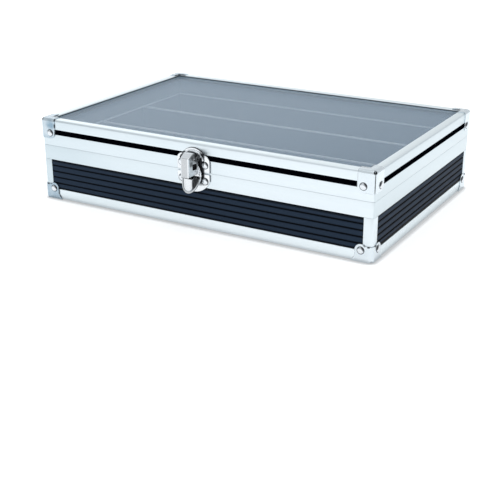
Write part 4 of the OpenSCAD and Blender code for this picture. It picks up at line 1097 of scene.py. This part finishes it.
def thumb_ridge(half=3.8, low=-25.3, high=-15.4, front=3.1):
    """Block with a round lower end: its face is upright and the bent sheet cuts it off behind."""
    angle = np.linspace(math.pi, 2 * math.pi, 17)
    end = np.column_stack([half * np.cos(angle), low + half + half * np.sin(angle)])
    points, faces = slab(np.concatenate([end, [(half, high), (-half, high)]]), 0, 1, 0.35)
    fall = np.clip(-BEND_DROP - points[:, 1], 0, None)
    sheet = LEVER_BACK + SHEET_T / 2 + fall * math.tan(FLARE)
    points[:, 2] = sheet + (np.maximum(front, sheet + 0.15) - sheet) * points[:, 2]
    return points, faces


def catch_lip(half=4, top=-19.9, tall=1.2, tip=-3.2):
    """Lip that reaches in behind the sheet, with a rounded tip."""
    outline = rounded([(tip, top - tall, 0.4), (2.0, top - tall, 0), (2.0, top, 0), (tip, top, 0.3)])
    sheet = LEVER_BACK + (-BEND_DROP - top) * math.tan(FLARE)
    outline[:, 0] = np.minimum(outline[:, 0], sheet + 0.4)
    return stood(slab(outline, -half, half, 0.3), (0, 0, 0), SIDEWAYS)


def barrel():
    """Bar round the pin, from wall to wall of the hood."""
    return stood(rod(EYE_R, HOOD_T - HOOD_FOOT, HOOD_FOOT - HOOD_T, 28), (0, 0, 0), SIDEWAYS)


def lever_surface(place):
    """Nickel with painted shade: grey on the hood's sides and face and in the sheet's dish, and black in
    the side slots, which are painted on and not cut, and along the mouth. Places are sideways, out and up
    from the pin."""
    x, y, z = place.in_mm()
    x, out, up = abs(x), PIVOT_Y - y, z - PIVOT_Z
    # Painted shade: grey hood sides, face and dish; black painted slots and mouth.
    hooded = out.between(-3.3, -2.8)
    over_mouth = up - (HOOD_OUT - out) * (UNDERCUT / (HOOD_OUT - LEVER_BACK - SHEET_T)) + HOOD_DROP
    side = x.between(3.4, 3.8) * hooded * over_mouth.between(0, 0.4)
    near_sheet = out.below(-1.5, 1.5) * up.between(-5.0, -1.0)
    side_grey = side * (up.between(-9.0, 2.0) * 0.45 + near_sheet * 0.3 + 0.22)
    shade = side * out.between(1.0, 3.0) * out.below(4.8, 6.4)
    shade = shade * up.between(-7.0, -4.5) * up.below(-3.0, 1.5) * 0.8
    face = x.below(2.5, 2.9) * out.between(6.4, 6.7) * 0.34
    slot = x.between(2.8, 3.0) * out.between(-1.9, -1.5) * out.below(2.5, 2.9)
    slot = slot * up.between(-8.9, -8.5) * up.below(-4.2, -3.6)
    mouth = abs(over_mouth).below(0.25, 0.6) * hooded * x.below(5.8, 6.2)
    dish = span(x / 6.8, (up + BEND_DROP) / 12.8).below(0.86, 0.99) * x.between(3.5, 3.8)
    dish = dish * up.below(-BEND_DROP - 1.5, -BEND_DROP) * 0.72
    ridge = x.below(3.5, 3.8) * up.below(-16.5, -15.5) * (x.between(1.0, 3.6) * 0.12 + 0.08)
    dark = side_grey.most(shade, face, slot, mouth, dish, ridge)
    return painted_shade_over(nickel_surface(place), dark, 0.3, (0.010, 0.009, 0.010))


lever_finish = finish("nickel_lever", METAL, lever_surface)
lever_parts = (lever_sheet(), hood(), thumb_ridge(), catch_lip(), barrel())
lever_shapes = [stood(part, (0, PIVOT_Y, PIVOT_Z), FACING_FRONT) for part in lever_parts]
piece("latch_hasp_lever", lever_shapes, "lever", lever_finish, "latch_lever")

# The studio: a plain white floor that glows a little, as a lit cyclorama does, in a bright room that
# is brighter behind the case and darker where the photographer stands and at the left, with one soft
# lamp above and the photograph's camera.
FLOOR_HALF = 6
FLOOR = {"Specular IOR Level": 0.0, "Emission Strength": 0.50}
SKY_TINT, SKY_LEVEL, SKY_SEEN = (0.95, 0.98, 1.0), 0.785, 1.1


def floor_surface(place):
    """White, and darker within a few millimetres of the case's outline, where light hardly gets: by
    the distance from a rectangle that lies a little to the right and front of the case's middle."""
    x, y, _ = place.in_mm()
    past_x = (abs(x - 1.0) - HALF_LONG + 5).most(0.0)
    past_y = (abs(y + 1.5) - HALF_DEEP + 5).most(0.0)
    lit = 1 - span(past_x, past_y).below(5.0, 9.0) * 0.45
    return {
        "Base Color": lit.tint((0.10, 0.10, 0.11), (0.90, 0.90, 0.90)),
        "Emission Color": lit.tint((0.0, 0.0, 0.0), (1.0, 1.0, 1.0)),
        "Roughness": place.noise(3, 2) * 0.1 + 0.85,
    }


floor_mesh = bpy.data.meshes.new("studio_floor")
floor_corners = [(x * FLOOR_HALF, y * FLOOR_HALF, 0) for x, y in ((-1, -1), (1, -1), (1, 1), (-1, 1))]
floor_mesh.from_pydata(floor_corners, [], [(0, 1, 2, 3)])
floor_mesh.materials.append(finish("white_floor", FLOOR, floor_surface))
placed("studio_floor", floor_mesh)

room = bpy.data.worlds.new("room")
bpy.context.scene.world = room
room.use_nodes = True
sky = room.node_tree.nodes["Background"]
direction = Wire(room.node_tree, None).node("ShaderNodeTexCoord", out="Generated")


def toward(aim):
    """How directly a direction points at an aim, from -1 to 1."""
    values = {0: direction, 1: tuple(np.array(aim) / np.linalg.norm(aim))}
    return direction.node("ShaderNodeVectorMath", {"operation": "DOT_PRODUCT"}, values, out="Value")


bright_back = toward((-0.80, 0.55, 0.25)).between(0.78, 0.97) * direction.axis("Z").between(0.19, 0.28) * 0.60
dark_front = toward((0.55, -0.70, 0.45)).between(0.84, 0.95) * 0.6
dark_left = toward((-0.95, -0.25, 0.25)).between(0.90, 0.97) * 0.4
seen = direction.node("ShaderNodeLightPath", out="Is Camera Ray")
level = (bright_back - dark_front - dark_left + SKY_LEVEL) * (1 - seen) + seen * SKY_SEEN
sky_colour = level.node("ShaderNodeVectorMath", {"operation": "SCALE"}, {0: SKY_TINT, "Scale": level})
room.node_tree.links.new(sky_colour.socket, sky.inputs["Color"])
sky.inputs["Strength"].default_value = 1.0


def aimed(made, spot, target):
    """Puts the lamp or the camera at a spot and turns it to face a target."""
    made.location = spot
    made.rotation_euler = (mathutils.Vector(target) - made.location).to_track_quat("-Z", "Y").to_euler()


lamp_data = bpy.data.lights.new("soft_lamp", "AREA")
lamp_data.shape, lamp_data.size, lamp_data.energy = "DISK", 1.2, 3.0
aimed(placed("soft_lamp", lamp_data), (0.15, -0.35, 1.6), (0, 0, 0))

camera_data = bpy.data.cameras.new("camera")
camera_data.sensor_width, camera_data.lens = 36.0, 72.376
camera_data.clip_start, camera_data.clip_end = 0.01, 50
camera = placed("camera", camera_data)
aimed(camera, (0.39633, -0.70611, 0.27436), (0.00516, -0.02402, -0.04441))
bpy.context.scene.camera = camera
bpy.context.scene.view_settings.view_transform = "Standard"
